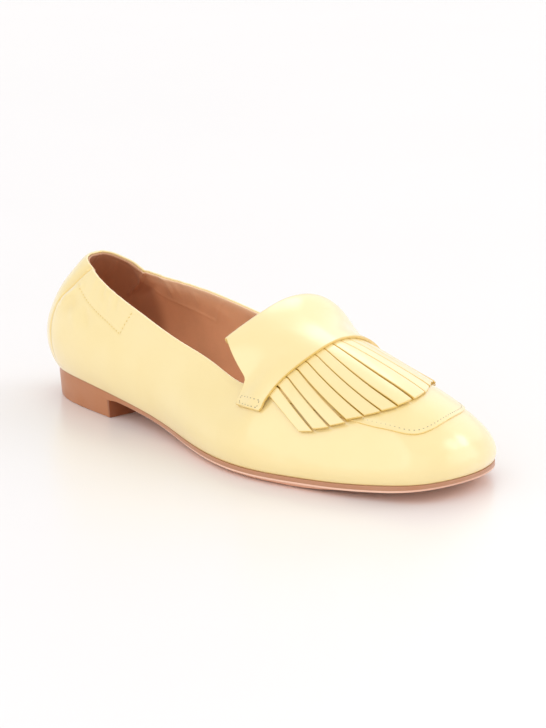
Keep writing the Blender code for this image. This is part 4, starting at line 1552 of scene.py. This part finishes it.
def lemon_leather(look):
    """Smooth aniline lemon calf: satin gloss, fine grain, painted golden shade in creases and on its golden
    cut edges.
    """
    material, tree, shader = start_material("lemon_leather")
    place = grain(tree, shader, cell=0.0007, depth=0.000012, crumple=0.00012)
    cloud = add_node(tree, "ShaderNodeTexNoise", Vector=place, Scale=32.0, Detail=3.0)
    drift = spread(tree, cloud.outputs["Fac"], CLOUD, FULL)
    colour = mix_colour(tree, drift, look.lemon, shaded(look.lemon, LEMON_DEEPER))
    # Painted golden shade in creases, seams and under the fringe
    colour = tinted(tree, colour, "fold", 0.85, look.lemon_fold)
    # Cut edges: their own golden colour, with painted shade along them and in the slits
    colour = tinted(tree, colour, "edge", 0.9, look.lemon_edge)
    tree.links.new(colour, shader.inputs["Base Color"])
    gloss = add_node(tree, "ShaderNodeTexNoise", Vector=place, Scale=90.0, Detail=4.0)
    rough = spread(tree, gloss.outputs["Fac"], FIBRE, (0.36, 0.45))
    tree.links.new(rough, shader.inputs["Roughness"])
    shader.inputs["Specular IOR Level"].default_value = 0.5
    shader.inputs["Coat Weight"].default_value = 1.0
    shader.inputs["Coat IOR"].default_value = 1.8
    shader.inputs["Coat Roughness"].default_value = 0.2
    return material


def tan_lining(look):
    """Tan lining leather: open grain, a darker napped heel deepened by painted shade, painted highlight on
    its edge.
    """
    material, tree, shader = start_material("tan_lining")
    place = grain(tree, shader, cell=0.0009, depth=0.00003, crumple=0.0003)
    cloud = add_node(tree, "ShaderNodeTexNoise", Vector=place, Scale=55.0, Detail=4.0)
    drift = spread(tree, cloud.outputs["Fac"], CLOUD, FULL)
    colour = mix_colour(tree, drift, look.lining, shaded(look.lining, LINING_DEEPER))
    # Heel grip: darker napped leather, deepened by painted shade
    colour = tinted(tree, colour, "grip", 0.85, look.grip)
    # Painted highlight along the lining's top edge
    colour = tinted(tree, colour, "edge", 0.9, look.lining_edge)
    tree.links.new(colour, shader.inputs["Base Color"])
    rough = spread(tree, point_value(tree, "grip"), FULL, (0.46, 0.75))
    tree.links.new(rough, shader.inputs["Roughness"])
    shader.inputs["Specular IOR Level"].default_value = 0.4
    shader.inputs["Sheen Weight"].default_value = 0.08
    return material


def tan_sole(look):
    """Waxed sole leather: smooth painted edge with painted floor light low on it, redder heel with painted
    shade in front.
    """
    material, tree, shader = start_material("tan_sole")
    place = grain(tree, shader, cell=0.0012, depth=0.00002, crumple=0.00005)
    fibre = add_node(tree, "ShaderNodeTexNoise", Vector=place, Scale=120.0, Detail=5.0)
    drift = spread(tree, fibre.outputs["Fac"], FIBRE, (0.0, 0.35))
    colour = mix_colour(tree, point_value(tree, "heel"), look.sole, look.heel)
    colour = mix_colour(tree, drift, colour, look.heel)
    # Pale stripe of painted light from the floor, low on the edge
    colour = mix_colour(tree, point_value(tree, "stripe"), colour, look.sole_stripe)
    colour = mix_colour(tree, point_value(tree, "under"), colour, look.sole_under)
    # Painted shade on the heel's breast
    colour = mix_colour(tree, point_value(tree, "breast"), colour, look.heel_breast)
    tree.links.new(colour, shader.inputs["Base Color"])
    rough = spread(tree, fibre.outputs["Fac"], FIBRE, (0.34, 0.46))
    tree.links.new(rough, shader.inputs["Roughness"])
    shader.inputs["Coat Weight"].default_value = 0.15
    shader.inputs["Coat Roughness"].default_value = 0.25
    return material


def twisted_thread(look):
    """Waxed thread with a fine twist, with painted shade between its plies."""
    material, tree, shader = start_material("twisted_thread")
    place = tree.nodes.new("ShaderNodeTexCoord").outputs["Object"]
    ply = add_node(tree, "ShaderNodeTexWave", Vector=place, Scale=900.0, Distortion=1.5)
    colour = mix_colour(tree, point_value(tree, "pale"), look.thread, look.band_thread)
    # Painted shade between the plies: a darker thread colour, and the lemon's painted shade for the band's
    # pale thread
    shade = shaded(look.thread, THREAD_PLY_SHADE)
    ply_shade = mix_colour(tree, point_value(tree, "pale"), shade, look.lemon_fold)
    tree.links.new(mix_colour(tree, ply.outputs["Fac"], colour, ply_shade), shader.inputs["Base Color"])
    bump = add_node(tree, "ShaderNodeBump", Strength=0.6, Distance=0.00005, Height=ply.outputs["Fac"])
    tree.links.new(bump.outputs["Normal"], shader.inputs["Normal"])
    shader.inputs["Roughness"].default_value = 0.6
    return material


def pale_floor(look):
    """Pale studio board with a faint satin gloss."""
    material, tree, shader = start_material("pale_floor")
    place = tree.nodes.new("ShaderNodeTexCoord").outputs["Object"]
    cloud = add_node(tree, "ShaderNodeTexNoise", Vector=place, Scale=3.0, Detail=2.0)
    drift = spread(tree, cloud.outputs["Fac"], CLOUD, FULL)
    colour = mix_colour(tree, drift, look.floor_colour, shaded(look.floor_colour, FLOOR_DEEPER))
    tree.links.new(colour, shader.inputs["Base Color"])
    shader.inputs["Roughness"].default_value = 0.25
    shader.inputs["Specular IOR Level"].default_value = 0.8
    return material


# The camera's place, as in the photograph, and its aim a little beside the shoe's middle
CAMERA_AZIMUTH = 47.39
CAMERA_RISE = 13.98
CAMERA_AWAY = 1.1
CAMERA_TARGET = Vector((0.002285, 0.004903, 0.030))
AIM_RIGHT = 0.0067
CAMERA_LENS = 133.0
CAMERA_SENSOR = 36.0
CAMERA_FAR = 100.0


def make_camera():
    """Camera at the photograph's angle, turned so that the one shoe fills the picture."""
    a = radians(CAMERA_AZIMUTH)
    e = radians(CAMERA_RISE)
    back = Vector((sin(a) * cos(e), -cos(a) * cos(e), sin(e)))
    right = Vector((cos(a), sin(a), 0.0))
    aim = right * AIM_RIGHT - back * CAMERA_AWAY
    data = bpy.data.cameras.new("camera")
    data.sensor_width = CAMERA_SENSOR
    data.lens = CAMERA_LENS
    data.clip_end = CAMERA_FAR
    camera = bpy.data.objects.new("camera", data)
    camera.location = CAMERA_TARGET + back * CAMERA_AWAY
    camera.rotation_mode = "QUATERNION"
    camera.rotation_quaternion = aim.to_track_quat("-Z", "Y")
    bpy.context.scene.collection.objects.link(camera)
    bpy.context.scene.camera = camera


# Soft boxes of the studio: name, direction to it and how wide it looks in degrees
Lamp = namedtuple("Lamp", "name direction angle")
LAMPS = [
    Lamp("toe_box", (0.50, 0.56, 0.66), 18.0),
    Lamp("toe_side_box", (0.30, 0.80, 0.52), 16.0),
    Lamp("back_box", (-0.22, 0.77, 0.60), 56.0),
    Lamp("tongue_box", (-0.52, 0.45, 0.72), 24.0),
    Lamp("side_box", (0.66, 0.70, 0.20), 50.0),
    Lamp("front_box", (0.72, -0.58, 0.42), 60.0),
    Lamp("fill_box", (0.0, -0.82, 0.55), 70.0),
]


def add_sun(name, direction, strength, angle):
    """A wide soft light from a direction."""
    data = bpy.data.lights.new(name, "SUN")
    data.energy = strength
    data.angle = radians(angle)
    light = bpy.data.objects.new(name, data)
    light.rotation_mode = "QUATERNION"
    light.rotation_quaternion = Vector(direction).to_track_quat("Z", "Y")
    bpy.context.scene.collection.objects.link(light)


# Half the floor's width in metres, and how high over the horizon the room's light is even
FLOOR_REACH = 40.0
HORIZON_RISE = 0.25


def make_stage(look):
    """Pale floor, soft light all round, the soft boxes and the camera."""
    floor = bpy.data.meshes.new("studio_floor")
    corners = [(x * FLOOR_REACH, y * FLOOR_REACH, 0) for x, y in ((-1, -1), (1, -1), (1, 1), (-1, 1))]
    floor.from_pydata(corners, [], [(0, 1, 2, 3)])
    floor.materials.append(pale_floor(look))
    board = bpy.data.objects.new("studio_floor", floor)
    bpy.context.scene.collection.objects.link(board)
    world = bpy.data.worlds.new("studio_light")
    world.use_nodes = True
    tree = world.node_tree
    tree.nodes["Background"].inputs["Color"].default_value = (*look.room_colour, 1.0)
    direction = tree.nodes.new("ShaderNodeTexCoord").outputs["Generated"]
    rise = add_node(tree, "ShaderNodeSeparateXYZ", Vector=direction)
    strengths = (look.horizon_strength, look.room_strength)
    glow = spread(tree, rise.outputs["Z"], (0.0, HORIZON_RISE), strengths)
    tree.links.new(glow, tree.nodes["Background"].inputs["Strength"])
    bpy.context.scene.world = world
    for lamp in LAMPS:
        add_sun(lamp.name, lamp.direction, getattr(look, lamp.name), lamp.angle)
    bpy.context.scene.view_settings.view_transform = "Standard"
    make_camera()


def length(name, description, default):
    """A length that a user may change."""
    return FloatProperty(name=name, description=description, default=default, unit="LENGTH", precision=5)


def colour(name, description, default):
    """A colour that a user may change."""
    return FloatVectorProperty(
        name=name, description=description, default=default, subtype="COLOR", size=3, min=0.0, max=1.0
    )


def strength(name, description, default):
    """Strength of a light that a user may change."""
    return FloatProperty(name=name, description=description, default=default, subtype="UNSIGNED", min=0.0)


class LoaferSizes(bpy.types.PropertyGroup):
    """Sizes of the leather and the stitching."""

    leather_thick: length("Leather", "Thickness of the upper's leather", 0.0011)
    lining_thick: length("Lining", "Thickness of the lining", 0.0006)
    lining_drop: length("Lining Drop", "How far the lining ends under the topline", 0.0001)
    apron_thick: length("Apron", "Thickness of the apron's leather", 0.0008)
    strap_thick: length("Strap", "Thickness of the strap and tongue", 0.0013)
    fold_radius: length("Fold", "Radius of the tongue's fold", 0.0019)
    fringe_thick: length("Fringe", "Thickness of the fringe", 0.0009)
    gather_depth: length("Gathers", "Depth of the gathers round the heel", 0.0001)
    stitch_inset: length("Stitch Inset", "Distance of the apron's stitches from its edge", 0.0013)
    stitch_pitch: length("Stitch Pitch", "Distance between stitches", 0.0019)
    stitch_length: length("Stitch Length", "Length of a stitch", 0.0009)
    stitch_width: length("Stitch Width", "Width of a stitch", 0.00034)
    crease_depth: FloatProperty(
        name="Creases", description="Strength of the creases in the upper", default=1.0, subtype="FACTOR"
    )
    slit_opening: FloatProperty(
        name="Slits", description="How far the fringe's slits open", default=1.0, subtype="FACTOR"
    )


class LoaferColours(bpy.types.PropertyGroup):
    """Colours of the leather and the thread."""

    lemon: colour("Lemon", "Leather of the upper, strap and fringe", (0.955, 0.775, 0.365))
    # Cut edges' own golden colour, with painted shade along them and in the slits
    lemon_edge: colour("Cut Edge", "Cut edges of the lemon leather", (0.85, 0.57, 0.125))
    # Painted golden shade in creases, seams and under the fringe, also between the band thread's plies
    lemon_fold: colour("Fold", "Lemon leather in creases and seams", (0.79, 0.505, 0.05))
    lining: colour("Lining", "Lining and sock leather", (0.81, 0.44, 0.245))
    # Painted highlight along the lining's top edge
    lining_edge: colour("Lining Edge", "Turned edge of the lining", (0.97, 0.70, 0.47))
    # Heel grip: darker napped leather, deepened by painted shade
    grip: colour("Heel Grip", "Napped leather inside the heel", (0.44, 0.195, 0.10))
    sole: colour("Sole", "Edge of the sole", (0.51, 0.245, 0.138))
    # Painted light from the floor on the sole's lower edge
    sole_stripe: colour("Sole Stripe", "Pale stripe low on the sole's edge", (0.97, 0.63, 0.48))
    sole_under: colour("Underside", "Underside of the sole", (0.98, 0.55, 0.36))
    heel: colour("Heel", "Heel block", (0.495, 0.185, 0.069))
    # Painted shade on the heel's breast
    heel_breast: colour("Heel Breast", "Front face of the heel block", (0.32, 0.10, 0.036))
    thread: colour("Thread", "Stitching of the apron and the strap", (0.46, 0.40, 0.27))
    band_thread: colour("Band Thread", "Stitching of the heel band", (0.80, 0.66, 0.33))


class LoaferStudio(bpy.types.PropertyGroup):
    """Light and floor of the studio."""

    floor_colour: colour("Floor", "Studio floor", (0.925, 0.895, 0.895))
    room_colour: colour("Room Colour", "Light from all round", (1.0, 1.0, 1.0))
    room_strength: strength("Room", "Light from above", 0.81)
    horizon_strength: strength("Horizon", "Light from the room's walls", 1.03)
    toe_box: strength("Toe Box", "Small soft box behind the toe", 0.14)
    toe_side_box: strength("Toe Side Box", "Small soft box beside the toe", 0.18)
    back_box: strength("Back Box", "Large soft box behind the shoe", 0.31)
    tongue_box: strength("Tongue Box", "Soft box behind the tongue", 0.20)
    side_box: strength("Side Box", "Low soft box on the toe's far side", 0.42)
    front_box: strength("Front Box", "Soft box beside the camera", 0.19)
    fill_box: strength("Fill Box", "Wide light on the near side", 0.62)


class LoaferSettings(bpy.types.PropertyGroup):
    """All values of the loafer."""

    sizes: PointerProperty(type=LoaferSizes)
    colours: PointerProperty(type=LoaferColours)
    studio: PointerProperty(type=LoaferStudio)


def finish_of(settings, make):
    """The finish that a function makes, made when it is first asked for."""
    return bpy.data.materials.get(f"loafer_{make.__name__}") or make(settings.colours)


class LOAFER_OT_upper(bpy.types.Operator):
    """Make the leather upper with its rolled topline, creases and gathers"""

    bl_idname = "loafer.upper"
    bl_label = "Upper"

    def execute(self, context):
        settings = context.scene.loafer
        make_upper(settings.sizes, finish_of(settings, lemon_leather))
        return {"FINISHED"}


class LOAFER_OT_lining(bpy.types.Operator):
    """Make the lining inside the upper"""

    bl_idname = "loafer.lining"
    bl_label = "Lining"

    def execute(self, context):
        settings = context.scene.loafer
        make_lining(settings.sizes, finish_of(settings, tan_lining))
        return {"FINISHED"}


class LOAFER_OT_sock(bpy.types.Operator):
    """Make the sock on the inner sole"""

    bl_idname = "loafer.sock"
    bl_label = "Sock"

    def execute(self, context):
        settings = context.scene.loafer
        make_sock(finish_of(settings, tan_lining))
        return {"FINISHED"}


class LOAFER_OT_outsole(bpy.types.Operator):
    """Make the leather sole"""

    bl_idname = "loafer.outsole"
    bl_label = "Outsole"

    def execute(self, context):
        settings = context.scene.loafer
        make_outsole(finish_of(settings, tan_sole))
        return {"FINISHED"}


class LOAFER_OT_heel(bpy.types.Operator):
    """Make the heel block"""

    bl_idname = "loafer.heel"
    bl_label = "Heel Block"

    def execute(self, context):
        settings = context.scene.loafer
        make_heel(finish_of(settings, tan_sole))
        return {"FINISHED"}


class LOAFER_OT_apron(bpy.types.Operator):
    """Make the apron panel on the vamp"""

    bl_idname = "loafer.apron"
    bl_label = "Apron"

    def execute(self, context):
        settings = context.scene.loafer
        make_apron(settings.sizes, finish_of(settings, lemon_leather), Vamp(settings.sizes))
        return {"FINISHED"}


class LOAFER_OT_fringe(bpy.types.Operator):
    """Make the leather fringe"""

    bl_idname = "loafer.fringe"
    bl_label = "Fringe"

    def execute(self, context):
        settings = context.scene.loafer
        make_fringe(settings.sizes, finish_of(settings, lemon_leather), Vamp(settings.sizes))
        return {"FINISHED"}


class LOAFER_OT_strap(bpy.types.Operator):
    """Make the saddle strap with its folded tongue"""

    bl_idname = "loafer.strap"
    bl_label = "Strap and Tongue"

    def execute(self, context):
        settings = context.scene.loafer
        make_strap(settings.sizes, finish_of(settings, lemon_leather), Seat(Vamp(settings.sizes)))
        return {"FINISHED"}


class LOAFER_OT_stitches(bpy.types.Operator):
    """Make the stitches of the apron, the strap's ends and the heel band"""

    bl_idname = "loafer.stitches"
    bl_label = "Stitches"

    def execute(self, context):
        settings = context.scene.loafer
        thread = finish_of(settings, twisted_thread)
        vamp = Vamp(settings.sizes)
        make_apron_stitches(settings.sizes, thread, vamp)
        make_strap_stitches(settings.sizes, thread, Seat(vamp))
        make_band_stitches(settings.sizes, thread)
        return {"FINISHED"}


class LOAFER_OT_stage(bpy.types.Operator):
    """Make the studio floor, the lights and the camera"""

    bl_idname = "loafer.stage"
    bl_label = "Stage"

    def execute(self, context):
        make_stage(context.scene.loafer.studio)
        return {"FINISHED"}


OPERATORS = (
    LOAFER_OT_upper,
    LOAFER_OT_lining,
    LOAFER_OT_sock,
    LOAFER_OT_outsole,
    LOAFER_OT_heel,
    LOAFER_OT_apron,
    LOAFER_OT_fringe,
    LOAFER_OT_strap,
    LOAFER_OT_stitches,
    LOAFER_OT_stage,
)


class LOAFER_PT_panel(bpy.types.Panel):
    """Lists the loafer's pieces and values"""

    bl_label = "Loafer"
    bl_idname = "LOAFER_PT_panel"
    bl_space_type = "VIEW_3D"
    bl_region_type = "UI"
    bl_category = "Loafer"

    def draw(self, context):
        for kind in OPERATORS:
            self.layout.operator(kind.bl_idname)
        settings = context.scene.loafer
        for group in (settings.sizes, settings.colours, settings.studio):
            box = self.layout.box()
            for key in group.bl_rna.properties.keys():
                if key not in ("rna_type", "name"):
                    box.prop(group, key)


CLASSES = (LoaferSizes, LoaferColours, LoaferStudio, LoaferSettings, *OPERATORS, LOAFER_PT_panel)


def register():
    """Register the classes and the scene's values."""
    for kind in CLASSES:
        bpy.utils.register_class(kind)
    bpy.types.Scene.loafer = PointerProperty(type=LoaferSettings)


def unregister():
    """Remove the scene's values and the classes."""
    del bpy.types.Scene.loafer
    for kind in reversed(CLASSES):
        bpy.utils.unregister_class(kind)


def main():
    """Build every piece and the stage."""
    register()
    bpy.ops.loafer.upper()
    bpy.ops.loafer.lining()
    bpy.ops.loafer.sock()
    bpy.ops.loafer.outsole()
    bpy.ops.loafer.heel()
    bpy.ops.loafer.apron()
    bpy.ops.loafer.fringe()
    bpy.ops.loafer.strap()
    bpy.ops.loafer.stitches()
    bpy.ops.loafer.stage()


if __name__ == "__main__":
    main()
